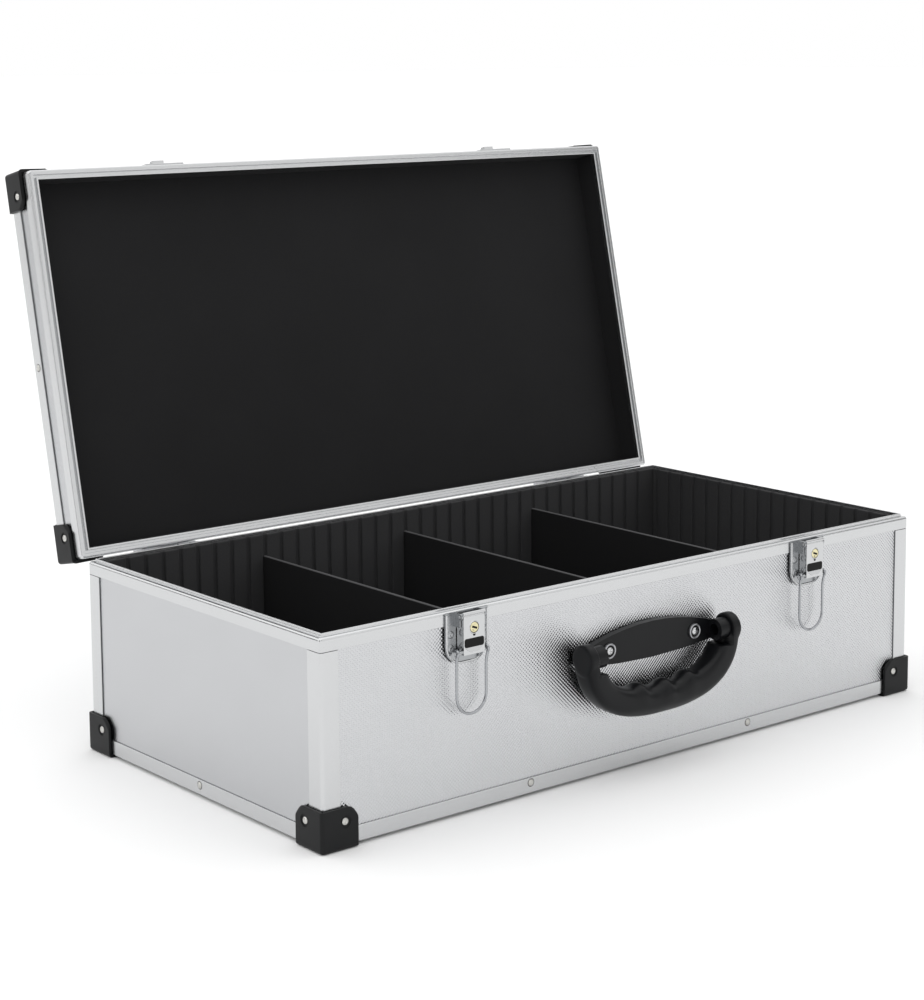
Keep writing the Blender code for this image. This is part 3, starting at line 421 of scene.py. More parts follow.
def node_shape(node):
    """A node's mesh as whole faces. A lid node's is brought to where the lid is shut."""
    bm = bmesh.new()
    bm.from_mesh(frame["nodes"][node].data)
    bmesh.ops.remove_doubles(bm, verts=bm.verts, dist=0.003 * MM)
    bmesh.ops.dissolve_limit(bm, angle_limit=math.radians(1), verts=bm.verts, edges=bm.edges)
    if BODY_OF[node] == "lid":
        bm.transform(TO_SHUT)
    return bm


def ease_edges(bm, width, steps):
    """Round every edge that turns by more than the smooth angle."""
    sharp = [edge for edge in bm.edges
             if len(edge.link_faces) == 2 and edge.calc_face_angle() > SMOOTH_ANGLE]
    bmesh.ops.bevel(bm, geom=sharp, offset=width, offset_type="OFFSET", segments=steps, profile=0.5,
                    affect="EDGES", clamp_overlap=True)


def eased(node, material, width, steps=2):
    """A copy with rounded edges that stands for a node."""
    bm = node_shape(node)
    ease_edges(bm, width, steps)
    if BODY_OF[node] == "lid":
        bm.transform(TO_OPEN)
    return stand_for(finish_mesh(node + "_finished", bm, material), node)


def trim(name, bm, material, node, weighted=True):
    """A small piece that rides with a node, which stays as it is."""
    return stand_for(finish_mesh(name, bm, material, weighted), node, hide=False)


print("edges over", round(math.degrees(SMOOTH_ANGLE)), "degrees are rounded")

# %% [markdown]
# ## Panels
#
# Each panel is its node's board with slightly eased edges. What matters is the map: the diamond
# pattern has to run level along every wall, and a wall of the open lid leans back. So the map is
# laid out while the lid is shut, one millimetre of sheet to one unit, looking square at each face.

# %% Panels
def lay_map(bm):
    """Flat map coordinates in millimetres, from whichever way each face looks."""
    layer = bm.loops.layers.uv.new("millimetres")
    for face in bm.faces:
        facing = max(range(3), key=lambda axis: abs(face.normal[axis]))
        across, up = [(1, 2), (0, 2), (0, 1)][facing]
        for loop in face.loops:
            loop[layer].uv = (loop.vert.co[across] / MM, loop.vert.co[up] / MM)


panel_nodes = [node for node in BODY_OF if node.endswith("_panel")]
for node in panel_nodes:
    bm = node_shape(node)
    ease_edges(bm, 0.25 * MM, 1)
    lay_map(bm)
    if BODY_OF[node] == "lid":
        bm.transform(TO_OPEN)
    # The end walls take the sheet whose colour is painted greyer, as painted shade.
    sheet = EMBOSSED_SIDES_PAINTED_SHADE if "left" in node or "right" in node else EMBOSSED
    stand_for(finish_mesh(node + "_sheet", bm, sheet), node)
print(len(panel_nodes), "panels mapped in millimetres")

# %% [markdown]
# ## Frame extrusions
#
# A rim is one length of extrusion bent round four corners, with its two ends meeting at a hairline
# joint on the back. The honest way to model that is the way it is made: draw the die's section, a
# few points of inset and height with rounded edges, and sweep it round the case's outline. An inset
# smaller than the bend's radius turns a true arc; a deeper one ends in a mitre.

# %% Sweep a section round the case
RIM_JOINT_X = 218.15 * MM     # where an extrusion's two ends meet, on the back
JOINT_HALF = 0.15 * MM        # half of the hairline between them
BEND_STEPS = 8
ROUND_STEPS = 4               # points on each rounded edge of a section


def rounded_section(corners):
    """A closed section from (inset, height, radius) corners, each rounded, in millimetres."""
    points = []
    count = len(corners)
    for index, (inset, height, radius) in enumerate(corners):
        here = Vector((inset, height))
        if radius <= 0:
            points.append(here)
            continue
        before = (Vector(corners[index - 1][:2]) - here).normalized()
        after = (Vector(corners[(index + 1) % count][:2]) - here).normalized()
        first, last = here + before * radius, here + after * radius
        for step in range(ROUND_STEPS + 1):
            share = step / ROUND_STEPS
            points.append(first.lerp(here, share).lerp(here.lerp(last, share), share))
    return [(point.x * MM, point.y * MM) for point in points]


def bend_path(inset):
    """Plan points at an inset, from the joint on the back clockwise round to the joint again."""
    wall_x, wall_y = HALF_WIDTH - inset, HALF_DEPTH - inset
    radius = max(CORNER_RADIUS - inset, 0)
    points = [(RIM_JOINT_X + JOINT_HALF, wall_y)]
    for sign_x, sign_y, start in ((1, 1, 90), (1, -1, 0), (-1, -1, -90), (-1, 1, -180)):
        centre_x, centre_y = sign_x * (wall_x - radius), sign_y * (wall_y - radius)
        for step in range(BEND_STEPS + 1):
            angle = math.radians(start - 90 * step / BEND_STEPS)
            points.append((centre_x + radius * math.cos(angle), centre_y + radius * math.sin(angle)))
    points.append((RIM_JOINT_X - JOINT_HALF, wall_y))
    return points


def sweep_frame(name, section, level, upward, material, node):
    """Sweep a section round the outline. Heights run from the level, up or down."""
    bm = bmesh.new()
    rings = [[bm.verts.new((x, y, level + upward * height)) for x, y in bend_path(inset)]
             for inset, height in section]
    count = len(rings)
    for index, ring in enumerate(rings):
        other = rings[(index + 1) % count]
        for place in range(len(ring) - 1):
            bm.faces.new((ring[place], ring[place + 1], other[place + 1], other[place]))
    for end in (0, -1):
        bm.faces.new([ring[end] for ring in rings])
    bmesh.ops.remove_doubles(bm, verts=bm.verts, dist=0.002 * MM)
    if BODY_OF[node] == "lid":
        bm.transform(TO_OPEN)
    return stand_for(finish_mesh(name, bm, material), node)


# %% Rims and edge profiles
# Each corner is its inset, its height and its edge's radius, in millimetres.
BASE_RIM = [(0, -9, 0.3), (0, 0, 2.2), (3.9, 0, 0.6), (3.9, 2, 0.5), (5.1, 2, 0.5), (5.1, -1, 0),
            (0.8, -1, 0), (0.8, -9, 0.2)]
LID_RIM = [(0, 9, 0.3), (0, 0, 1.5), (3.5, 0, 0.3), (3.5, 2.4, 0.1), (5.5, 2.4, 0.1), (5.5, 0, 0.3),
           (7.1, 0, 0.5), (7.1, 3.4, 0), (0.8, 3.4, 0), (0.8, 9, 0.2)]
EDGE_PROFILE = [(0, 10.5, 0.35), (0, 0, 1.1), (12, 0, 0.35), (12, 0.8, 0), (0.8, 0.8, 0),
                (0.8, 10.5, 0.2)]
sweep_frame("base_rim_extrusion", rounded_section(BASE_RIM), LEDGE, 1, EXTRUSION, "base_rim")
sweep_frame("lid_rim_extrusion", rounded_section(LID_RIM), LID_FACE, 1, EXTRUSION, "lid_rim")
sweep_frame("base_edge_extrusion", rounded_section(EDGE_PROFILE), BOTTOM, 1, EXTRUSION,
            "base_edge_profile")
sweep_frame("lid_edge_extrusion", rounded_section(EDGE_PROFILE), LID_TOP, -1, EXTRUSION,
            "lid_edge_profile")
for node in [name for name in BODY_OF if name.startswith("corner_post")]:
    eased(node, EXTRUSION, 0.25 * MM)
print("swept 4 extrusions and eased 4 posts")

# %% [markdown]
# ## Rivets
#
# A pop rivet's head is a low dome with a flat rim and a dimple where the mandrel snapped off. It is
# a turned shape, so its outline is spun: radius and height pairs from the middle outwards. On the
# edge profiles each head stands in a thin dark ring of painted shade, because a silver dome on
# silver would vanish.

# %% Rivets
def spin(bm, outline, turns, place, facing):
    """Spin an outline of (radius, height) about an axis through place; height runs along facing."""
    turn = Vector((0, 0, 1)).rotation_difference(Vector(facing)).to_matrix()
    rings = []
    for radius, height in outline:
        if radius == 0:
            rings.append([bm.verts.new(Vector(place) + turn @ Vector((0, 0, height)))])
            continue
        ring = []
        for step in range(turns):
            angle = math.tau * step / turns
            ring.append(bm.verts.new(Vector(place) + turn @ Vector(
                (radius * math.cos(angle), radius * math.sin(angle), height))))
        rings.append(ring)
    for inner, outer in zip(rings, rings[1:]):
        for step in range(turns):
            following = (step + 1) % turns
            corners = [inner[step % len(inner)], outer[step % len(outer)],
                       outer[following % len(outer)], inner[following % len(inner)]]
            unique = list(dict.fromkeys(corners))
            if len(unique) > 2:
                bm.faces.new(unique)


def rivet_outline(radius):
    """Dimple, dome and rim, closed underneath so that the head is a solid."""
    rise = radius * 0.42
    dome = [(radius * math.sin(angle), rise * math.cos(angle))
            for angle in [math.radians(step) for step in (24, 42, 60, 76, 90)]]
    return [(0, rise * 0.72), (radius * 0.26, rise * 0.74)] + dome + [(radius * 0.92, -0.3 * MM),
                                                                     (0, -0.3 * MM)]


def rivets(name, places, radius, body_node, material=RIVET):
    """A group of rivet heads: each place is a point on a surface and the way the head looks."""
    bm = bmesh.new()
    for place, facing in places:
        spin(bm, rivet_outline(radius), 20, place, facing)
    if BODY_OF[body_node] == "lid":
        bm.transform(TO_OPEN)
    return trim(name, bm, material, body_node, weighted=False)


def rivet_shade_rings(name, places, radius, body_node):
    """A dark ring round a rivet's head, a hair proud of the strip: painted shade that outlines the head."""
    bm = bmesh.new()
    for place, facing in places:
        spin(bm, [(0, 0.08 * MM), (radius, 0.08 * MM), (radius + 0.3 * MM, -0.2 * MM), (0, -0.2 * MM)], 24,
             place, facing)
    if BODY_OF[body_node] == "lid":
        bm.transform(TO_OPEN)
    return trim(name, bm, RIVET_RING_SHADE, body_node, weighted=False)


# %% Rivets along the edge profiles
LIFT = 0.02 * MM              # keeps a head off the face that it sits on
EDGE_RIVET = 2.3 * MM         # radius of the head
EDGE_SHADE_RING = 2.8 * MM          # radius of the painted shade ring round it
EDGE_RIVET_X = (-105.6 * MM, 100.9 * MM)
LONG_WALL_RISE = 6.5 * MM     # above the case's bottom
END_WALL_RISE = 6 * MM

edge_rivets = [((x, sign * (BACK + LIFT), LONG_WALL_RISE), (0, sign, 0)) for sign in (-1, 1)
               for x in EDGE_RIVET_X]
edge_rivets += [((sign * (HALF_WIDTH + LIFT), 0, END_WALL_RISE), (sign, 0, 0)) for sign in (-1, 1)]
lid_rivets = [((x, y, LID_TOP - z), facing) for (x, y, z), facing in edge_rivets]
for part, places in (("base_edge", edge_rivets), ("lid_edge", lid_rivets)):
    rivets(part + "_rivets", places, EDGE_RIVET, part + "_profile")
    rivet_shade_rings(part + "_rivet_shade_rings", places, EDGE_SHADE_RING, part + "_profile")
print(len(edge_rivets) + len(lid_rivets), "rivets on the edge profiles")

# %% [markdown]
# ## Corner protectors
#
# A protector is a moulded cap with three wings, and each wing has a shallow round well for its
# rivet. The well could be a dark ring in the material, but then it would stay flat where the light
# grazes it. It is a real recess, cut with a Boolean, so that its wall catches a dark ring.

# %% Corner protectors
PROTECTOR_SKIN = 2.3 * MM     # wall and gap
WELL_RADIUS = 4.2 * MM
WELL_DEPTH = 0.8 * MM
RIVET_IN = 16 * MM            # rivet's distance from the outer corner, both ways
LID_RIVET_DROP = 3 * MM       # the lid's protectors are shorter, so their rivets sit nearer the edge
CAP_RIVET = 2.5 * MM          # radius of the head


def apply_difference(piece, cutter):
    """Cut a shape out of a piece for good, and drop the cutter."""
    modifier = piece.modifiers.new("cut", "BOOLEAN")
    modifier.object = cutter
    modifier.operation = "DIFFERENCE"
    modifier.solver = "EXACT"
    depsgraph = bpy.context.evaluated_depsgraph_get()
    mesh = bpy.data.meshes.new_from_object(piece.evaluated_get(depsgraph))
    piece.modifiers.clear()
    piece.data = mesh
    bpy.data.objects.remove(cutter)


def drum(bm, place, facing, radius, depth, sides=28):
    """A closed cylinder from depth below a place to the same above it."""
    spin(bm, [(0, -depth), (radius, -depth), (radius, depth), (0, depth)], sides, place, facing)


def make_protector(node):
    """A cap with rounded edges, a rivet's well in each of its three wings, and the rivets."""
    bm = node_shape(node)
    sign_x = 1 if node.endswith("right") else -1
    sign_y = 1 if "_back_" in node else -1
    inward = 1 if node.startswith("base") else -1
    corner = Vector((sign_x * HALF_WIDTH, sign_y * HALF_DEPTH, BOTTOM if inward > 0 else LID_TOP))
    ease_edges(bm, 0.6 * MM, 3)
    tall = RIVET_IN if inward > 0 else RIVET_IN - LID_RIVET_DROP
    wings = [((corner.x - sign_x * RIVET_IN, corner.y + sign_y * PROTECTOR_SKIN,
               corner.z + inward * tall), (0, sign_y, 0)),
             ((corner.x + sign_x * PROTECTOR_SKIN, corner.y - sign_y * RIVET_IN,
               corner.z + inward * tall), (sign_x, 0, 0)),
             ((corner.x - sign_x * RIVET_IN, corner.y - sign_y * RIVET_IN,
               corner.z - inward * PROTECTOR_SKIN), (0, 0, -inward))]
    turn = TO_OPEN if BODY_OF[node] == "lid" else Matrix.Identity(4)
    bm.transform(turn)
    cap = finish_mesh(node + "_cap", bm, ABS, weighted=False)
    wells = bmesh.new()
    for place, facing in wings:
        drum(wells, place, facing, WELL_RADIUS, WELL_DEPTH)
    wells.transform(turn)
    apply_difference(cap, finish_mesh(node + "_wells", wells, ABS, weighted=False))
    cap.data.set_sharp_from_angle(angle=SMOOTH_ANGLE)
    keep_flats_flat(cap)
    stand_for(cap, node)
    heads = [(Vector(place) - Vector(facing) * (WELL_DEPTH - 0.1 * MM), facing) for place, facing in wings]
    rivets(node + "_rivets", heads, CAP_RIVET, node)


protector_nodes = [node for node in BODY_OF if "_protector_" in node]
for node in protector_nodes:
    make_protector(node)
print(len(protector_nodes), "protectors, three wells and rivets each")

# %% [markdown]
# ## Lining, floor and dividers
#
# The lining strips are foam pressed into upright ribs with soft shoulders, so their edges are
# rounded far more than metal's, in three steps. The ribs are fixed to boards and keep their shape,
# so they need no cloth simulation. The dividers are felt-covered boards with soft edges. The faces
# that look up are given a second, lighter felt material: painted light on the top edges, which
# face the light from above.

# %% Lining, pads and dividers
SOFT_EDGE = 0.8 * MM
LOOKS_UP = 0.5                # how far a face's normal points up
for place in ("front", "back", "left", "right", "floor"):
    eased("lining_" + place, FOAM, SOFT_EDGE, 3)
eased("lid_lining_pad", FELT, SOFT_EDGE, 3)
eased("lid_lining_walls", FELT, 0.3 * MM, 2)
for node in ("divider_left", "divider_middle", "divider_right"):
    divider = eased(node, BOARD_FELT, 0.9 * MM, 3)
    # Painted light: faces that look up take the lighter felt.
    divider.data.materials.append(LIT_TOP_FELT)
    for face in divider.data.polygons:
        if face.normal.z > LOOKS_UP:
            face.material_index = 1
print("lining, pads and dividers eased")

# %% [markdown]
# ## Hinges
#
# A butt hinge has two pressed leaves whose edges are rolled into knuckles round a pin. The frame's
# nodes have those shapes, so they only get softer edges and zinc. Each leaf is held by three rivets.

# %% Hinges
for node in [name for name in BODY_OF if name.startswith("hinge_")]:
    eased(node, ZINC, 0.2 * MM)
HINGE_RIVET_STEP = 15 * MM
HINGE_RIVET = 1.9 * MM
LEAF_FACE = BACK + 1.3 * MM
LEAF_LEVELS = {"base": LEDGE - 12.6 * MM, "lid": LID_FACE + 9 * MM}
for side in ("left", "right"):
    low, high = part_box("hinge_base_leaf_" + side)
    middle = (low.x + high.x) / 2
    for part, level in LEAF_LEVELS.items():
        places = [((middle + step * HINGE_RIVET_STEP, LEAF_FACE, level), (0, 1, 0)) for step in (-1, 0, 1)]
        rivets("hinge_rivets_" + part + "_" + side, places, HINGE_RIVET,
               "hinge_" + part + "_leaf_" + side)
print("hinges and their rivets")

# %% [markdown]
# ## Draw latches
#
# The latch is the jewel of the case. A steel shield plate with a rolled bright edge is riveted to the
# wall. The lever is a folded box with a rolled upper edge, a key plug, a dark window, and a lip above
# the bail's bar. The bail is a wire whose ends are curled round the bar. Every small part is its own
# mesh, because chrome shows its shape only by what it mirrors: each rounded edge, roll and curl adds
# a line of light or dark that a painted pattern couldn't give. Bars and wires are swept tubes,
# turned parts are spun, and pressed parts are boxes with rounded edges.

# %% Latch helpers
LATCHES = {"left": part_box("lock_plug_left"), "right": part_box("lock_plug_right")}
LATCH_X = {side: (low.x + high.x) / 2 for side, (low, high) in LATCHES.items()}
PLATE_HALF = 17.5 * MM
PLATE_HEIGHT = 34.5 * MM
PLATE_ROUND = 12.5 * MM
PLATE_FACE = FRONT - 1.3 * MM
LEVER_HALF = 8.65 * MM
LEVER_FACE = FRONT - 8.7 * MM
BAR_Y = FRONT - 5.6 * MM
BAR_Z = LEDGE - 26.5 * MM
BAIL_ARM = 12.15 * MM
BAIL_LENGTH = 41 * MM
WIRE = 0.95 * MM              # radius
AWAY = (0, -1, 0)             # out of the front wall


def tube_mesh(bm, points, radius, sides):
    """A round bar through points, with closed ends. Each ring is square to the path."""
    points = [Vector(point) for point in points]
    side_way = None
    rings = []
    for index, point in enumerate(points):
        ahead = points[min(index + 1, len(points) - 1)] - points[max(index - 1, 0)]
        ahead.normalize()
        if side_way is None:
            side_way = ahead.orthogonal().normalized()
        side_way = (side_way - ahead * side_way.dot(ahead)).normalized()
        up_way = ahead.cross(side_way)
        rings.append([bm.verts.new(point + (side_way * math.cos(math.tau * step / sides)
                                            + up_way * math.sin(math.tau * step / sides)) * radius)
                      for step in range(sides)])
    for ring, other in zip(rings, rings[1:]):
        for step in range(sides):
            following = (step + 1) % sides
            bm.faces.new((ring[step], ring[following], other[following], other[step]))
    bm.faces.new(list(reversed(rings[0])))
    bm.faces.new(rings[-1])


def arc_points(centre, radius, start, end, steps):
    """Points on an arc in a plane, angles in degrees."""
    return [(centre[0] + radius * math.cos(math.radians(start + (end - start) * step / steps)),
             centre[1] + radius * math.sin(math.radians(start + (end - start) * step / steps)))
            for step in range(steps + 1)]


# %% Latch plate: rolled edge and rivets
PLATE_RIVET_OUT = 13.6 * MM   # either side of the latch's centre line
PLATE_RIVET_DROPS = (14.5 * MM, 23.5 * MM)
PLATE_EDGE = 0.75 * MM        # radius of the rolled edge


def make_plate_trim(side):
    x = LATCH_X[side]
    eased("latch_plate_" + side, PRESSED, 0.3 * MM)
    eased("latch_pin_" + side, CHROME, 0.2 * MM)
    top = LEDGE - GAP - 1.2 * MM
    foot = LEDGE - GAP - PLATE_HEIGHT
    inset = 0.9 * MM
    outline = [(PLATE_HALF - inset, top)]
    outline += arc_points((PLATE_HALF - PLATE_ROUND, foot + PLATE_ROUND), PLATE_ROUND - inset, 0, -90, 10)
    outline += arc_points((PLATE_ROUND - PLATE_HALF, foot + PLATE_ROUND), PLATE_ROUND - inset, -90, -180, 10)
    outline += [(inset - PLATE_HALF, top)]
    bm = bmesh.new()
    tube_mesh(bm, [(x + across, PLATE_FACE, up) for across, up in outline], PLATE_EDGE, 12)
    trim("latch_edge_" + side, bm, CHROME, "latch_plate_" + side, weighted=False)
    places = [((x + sign * PLATE_RIVET_OUT, PLATE_FACE - LIFT, LEDGE - drop), AWAY)
              for sign in (-1, 1) for drop in PLATE_RIVET_DROPS]
    rivets("latch_rivets_" + side, places, 2.6 * MM, "latch_plate_" + side, PRESSED)


for side in LATCH_X:
    make_plate_trim(side)
print("latch plates edged")

# %% Latch lever: rolled top, lip, tail and window
ROLL_RADIUS = 1.15 * MM
LIP_TOP = LEDGE - 22.8 * MM
LIP_FOOT = BAR_Z + 0.4 * MM
LIP_TAPER = 0.4               # width of the lip's foot as a share of its top
TAIL_OUTER = 1.75 * MM        # the strip that curls round the bar
TAIL_INNER = 1.25 * MM
TAIL_HALF = 2.2 * MM
WINDOW_HALF = 8 * MM
WINDOW_TOP = LEDGE - 17.1 * MM
WINDOW_FOOT = LEDGE - 22.9 * MM
WINDOW_ROUND = 1.4 * MM


def box_between(bm, low, high):
    """A closed box between two corners, in a bmesh that may hold other shapes."""
    made = bmesh.ops.create_cube(bm, size=1)["verts"]
    low, high = Vector(low), Vector(high)
    bmesh.ops.scale(bm, vec=high - low, verts=made)
    bmesh.ops.translate(bm, vec=(low + high) / 2, verts=made)
    return made


def painted_shade_trim(name, bm, node, weighted=True):
    """Black trim on a metal node: painted shade for a hole or an opening."""
    piece = finish_mesh(name, bm, HOLE_SHADE_BLACK, weighted)
    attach(piece, BODY_OF[node])


def make_roll(side):
    """The sheet's upper edge, rolled over like a hem."""
    x = LATCH_X[side]
    reach = LEVER_HALF + 0.4 * MM
    place = (LEVER_FACE + 0.5 * MM, LEDGE - 0.9 * MM)
    roll = bmesh.new()
    tube_mesh(roll, [(x - reach, *place), (x + reach, *place)], ROLL_RADIUS, 18)
    ease_edges(roll, 0.25 * MM, 2)
    trim("latch_roll_" + side, roll, CHROME, "latch_lever_" + side)


def make_lip(side):
    """The lever's foot, kicked out at the bottom for a finger and tapered towards the bar."""
    x = LATCH_X[side]
    half = LEVER_HALF - 0.2 * MM
    middle = BAR_Z + 2 * MM
    lip = bmesh.new()
    for vert in box_between(lip, (x - half, LEVER_FACE - 0.9 * MM, LIP_FOOT),
                            (x + half, LEVER_FACE + 2.2 * MM, LIP_TOP)):
        if vert.co.z > middle and vert.co.y < LEVER_FACE:
            vert.co.y = LEVER_FACE - 0.1 * MM
        if vert.co.z < middle:
            vert.co.x = x + (vert.co.x - x) * LIP_TAPER
    ease_edges(lip, 0.3 * MM, 2)
    trim("latch_lip_" + side, lip, CHROME, "latch_lever_" + side)


def make_tail(side):
    """A strip curled round the bar, which holds it to the lever."""
    x = LATCH_X[side]
    section = arc_points((BAR_Y, BAR_Z), TAIL_OUTER, 200, -40, 12)
    section += arc_points((BAR_Y, BAR_Z), TAIL_INNER, -40, 200, 12)
    tail = bmesh.new()
    left = [tail.verts.new((x - TAIL_HALF, y, z)) for y, z in section]
    right = [tail.verts.new((x + TAIL_HALF, y, z)) for y, z in section]
    for index in range(len(section)):
        following = (index + 1) % len(section)
        tail.faces.new((left[index], left[following], right[following], right[index]))
    tail.faces.new(left)
    tail.faces.new(right)
    trim("latch_tail_" + side, tail, CHROME, "latch_lever_" + side)


def make_window(side):
    """A black box with round corners, a hair proud of the lever's face: painted shade for the window's opening."""
    x = LATCH_X[side]
    shade_box = bmesh.new()
    box_between(shade_box, (x - WINDOW_HALF, LEVER_FACE - 0.12 * MM, WINDOW_FOOT),
                (x + WINDOW_HALF, LEVER_FACE + 1.6 * MM, WINDOW_TOP))
    upright = [edge for edge in shade_box.edges
               if abs(edge.verts[0].co.y - edge.verts[1].co.y) > 1 * MM]
    bmesh.ops.bevel(shade_box, geom=upright, offset=WINDOW_ROUND, segments=4, profile=0.5, affect="EDGES")
    painted_shade_trim("latch_window_shade_box_" + side, shade_box, "latch_lever_" + side)


for side in LATCH_X:
    eased("latch_lever_" + side, CHROME, 0.35 * MM, 3)
    make_roll(side)
    make_lip(side)
    make_tail(side)
    make_window(side)
print("levers trimmed")

# %% Key plug
KEY_Z = LEDGE - 10.3 * MM
KEY_RADIUS = 3.3 * MM
KEY_REACH = 5 * MM            # the plug's length behind its face
KEYHOLE_HALF = 2.2 * MM
KEYHOLE_TALL = 0.7 * MM       # half its height
KEYHOLE_TILT = math.radians(20)
PINHOLE_Z = LEDGE - 14.9 * MM


def keyhole_box(side, face, front, back):
    """A tilted slot's box from front to back of the plug's face."""
    centre = Vector((LATCH_X[side], face, KEY_Z))
    bm = bmesh.new()
    box_between(bm, centre + Vector((-KEYHOLE_HALF, front, -KEYHOLE_TALL)),
                centre + Vector((KEYHOLE_HALF, back, KEYHOLE_TALL)))
    turn = Matrix.Rotation(KEYHOLE_TILT, 4, "Y")
    bm.transform(Matrix.Translation(centre) @ turn @ Matrix.Translation(-centre))
    return bm


def make_key_plug(side):
    """A turned brass plug with a stepped face and a keyhole slot, whose bottom is black painted shade."""
    node = "lock_plug_" + side
    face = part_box(node)[0].y
    outline = [(0, 0), (2.1 * MM, 0), (2.3 * MM, 0.15 * MM), (2.9 * MM, 0.15 * MM),
               (KEY_RADIUS, -0.2 * MM), (KEY_RADIUS, -KEY_REACH), (0, -KEY_REACH)]
    bm = bmesh.new()
    spin(bm, outline, 36, (LATCH_X[side], face, KEY_Z), AWAY)
    plug = finish_mesh(node + "_turned", bm, BRASS, weighted=False)
    slot = keyhole_box(side, face, -1 * MM, 2.5 * MM)
    apply_difference(plug, finish_mesh(node + "_slot", slot, BRASS, weighted=False))
    plug.data.set_sharp_from_angle(angle=SMOOTH_ANGLE)
    stand_for(plug, node)
    # Painted shade: a black box inside the slot darkens its bottom.
    trim("lock_keyway_shade_" + side, keyhole_box(side, face, 0.25 * MM, 0.6 * MM), HOLE_SHADE_BLACK, node, False)


def make_bezel(side):
    """The thin chromed ring round the plug, and under it the pinhole, drawn as a black disc of painted shade."""
    x = LATCH_X[side]
    inner = 3.65 * MM
    ring = bmesh.new()
    spin(ring, [(inner, 0.1 * MM), (3.75 * MM, 0.28 * MM), (4.2 * MM, 0.22 * MM),
                (4.45 * MM, -0.1 * MM), (inner, -0.1 * MM), (inner, 0.1 * MM)], 36,
         (x, LEVER_FACE, KEY_Z), AWAY)
    bmesh.ops.remove_doubles(ring, verts=ring.verts, dist=0.001 * MM)
    trim("latch_bezel_" + side, ring, CHROME, "latch_lever_" + side, weighted=False)
    # Painted shade: the pinhole is a black disc, a hair proud of the lever's face.
    dot = bmesh.new()
    spin(dot, [(0, 0.06 * MM), (1.05 * MM, 0.06 * MM), (1.15 * MM, -0.2 * MM), (0, -0.2 * MM)], 16,
         (x, LEVER_FACE, PINHOLE_Z), AWAY)
    painted_shade_trim("latch_pinhole_shade_" + side, dot, "latch_lever_" + side, weighted=False)


for side in LATCH_X:
    make_key_plug(side)
    make_bezel(side)
print("key plugs turned")

# %% Bail
EYE_RADIUS = 2.1 * MM         # the curl's, to the middle of the wire
ARM_START = BAR_Z - 10 * MM   # where the arms run straight
ARM_STEPS = 4


def half_bail():
    """The middle of the wire on the right: the curl round the bar, the jog, and the straight arm."""
    points = []
    for index, angle in enumerate(range(-60, 241, 20)):
        points.append((BAIL_ARM - 0.6 * MM + 0.08 * MM * index,
                       BAR_Y + math.cos(math.radians(angle)) * EYE_RADIUS,
                       BAR_Z + math.sin(math.radians(angle)) * EYE_RADIUS))
    points += [(BAIL_ARM + 0.5 * MM, BAR_Y - 0.9 * MM, BAR_Z - 3.2 * MM),
               (BAIL_ARM + 0.25 * MM, BAR_Y - 0.3 * MM, BAR_Z - 6 * MM)]
    arm_length = BAR_Z - BAIL_LENGTH + BAIL_ARM - ARM_START
    points += [(BAIL_ARM, BAR_Y, ARM_START + arm_length * step / ARM_STEPS) for step in range(ARM_STEPS)]
    return points


def make_bail(side):
    """One wire: a curl round the bar, a jog out to the arm, the round end, and back again."""
    x = LATCH_X[side]
    half = half_bail()
    round_end = arc_points((0, BAR_Z - BAIL_LENGTH + BAIL_ARM), BAIL_ARM, 0, -180, 24)
    path = [(x + across, y, z) for across, y, z in half]
    path += [(x + across, BAR_Y, z) for across, z in round_end]
    path += [(x - across, y, z) for across, y, z in reversed(half)]
    bm = bmesh.new()
    tube_mesh(bm, path, WIRE, 14)
    ease_edges(bm, 0.2 * MM, 2)
    return stand_for(finish_mesh("latch_bail_wire_" + side, bm, WIRE_STEEL, False), "latch_bail_" + side)


CATCH_RIVET_OUT = 11 * MM
CATCH_RIVET_Z = LID_FACE + 16 * MM
CATCH_SKIN = 1.1 * MM
for side in LATCH_X:
    make_bail(side)
    eased("lid_catch_" + side, CHROME, 0.25 * MM)
    places = [((LATCH_X[side] + sign * CATCH_RIVET_OUT, FRONT - CATCH_SKIN, CATCH_RIVET_Z), AWAY)
              for sign in (-1, 1)]
    rivets("catch_rivets_" + side, places, 2.1 * MM, "lid_catch_" + side)
print("bails bent and catches riveted")

# %% [markdown]
# ## Handle
#
# The arched plate is moulded with generous edges. Each screw sits in a cupped washer, so it shows as
# a bright ring, a dark gap and a domed head with a cross slot. All three are turned shapes, spun
# from their outlines, and the cross is cut with two slots.

# %% Handle plate and screws
WASHER_HOLE = 3.9 * MM
WASHER_RIM = 5.5 * MM
HEAD_RADIUS = 2.7 * MM
SCREW_FOOT = -1.3 * MM        # the plate's face, seen from the screw's face
CROSS_LONG = 1.5 * MM
CROSS_THIN = 0.3 * MM


def make_washer(side, centre):
    ring = bmesh.new()
    spin(ring, [(WASHER_HOLE, -0.9 * MM), (4.1 * MM, 0.05 * MM), (4.6 * MM, 0.3 * MM),
                (5.2 * MM, 0.1 * MM), (WASHER_RIM, -0.9 * MM), (WASHER_RIM, SCREW_FOOT),
                (WASHER_HOLE, SCREW_FOOT), (WASHER_HOLE, -0.9 * MM)], 32, centre, AWAY)
    bmesh.ops.remove_doubles(ring, verts=ring.verts, dist=0.001 * MM)
    trim("handle_washer_" + side, ring, ZINC, "handle_screw_" + side, weighted=False)
    # Painted shade: a black disc down in the washer's hole stands for the dark gap round the head.
    cup = bmesh.new()
    spin(cup, [(0, -0.7 * MM), (4 * MM, -0.7 * MM), (4 * MM, SCREW_FOOT), (0, SCREW_FOOT)], 28, centre,
         AWAY)
    trim("handle_cup_shade_" + side, cup, HOLE_SHADE_BLACK, "handle_screw_" + side, weighted=False)


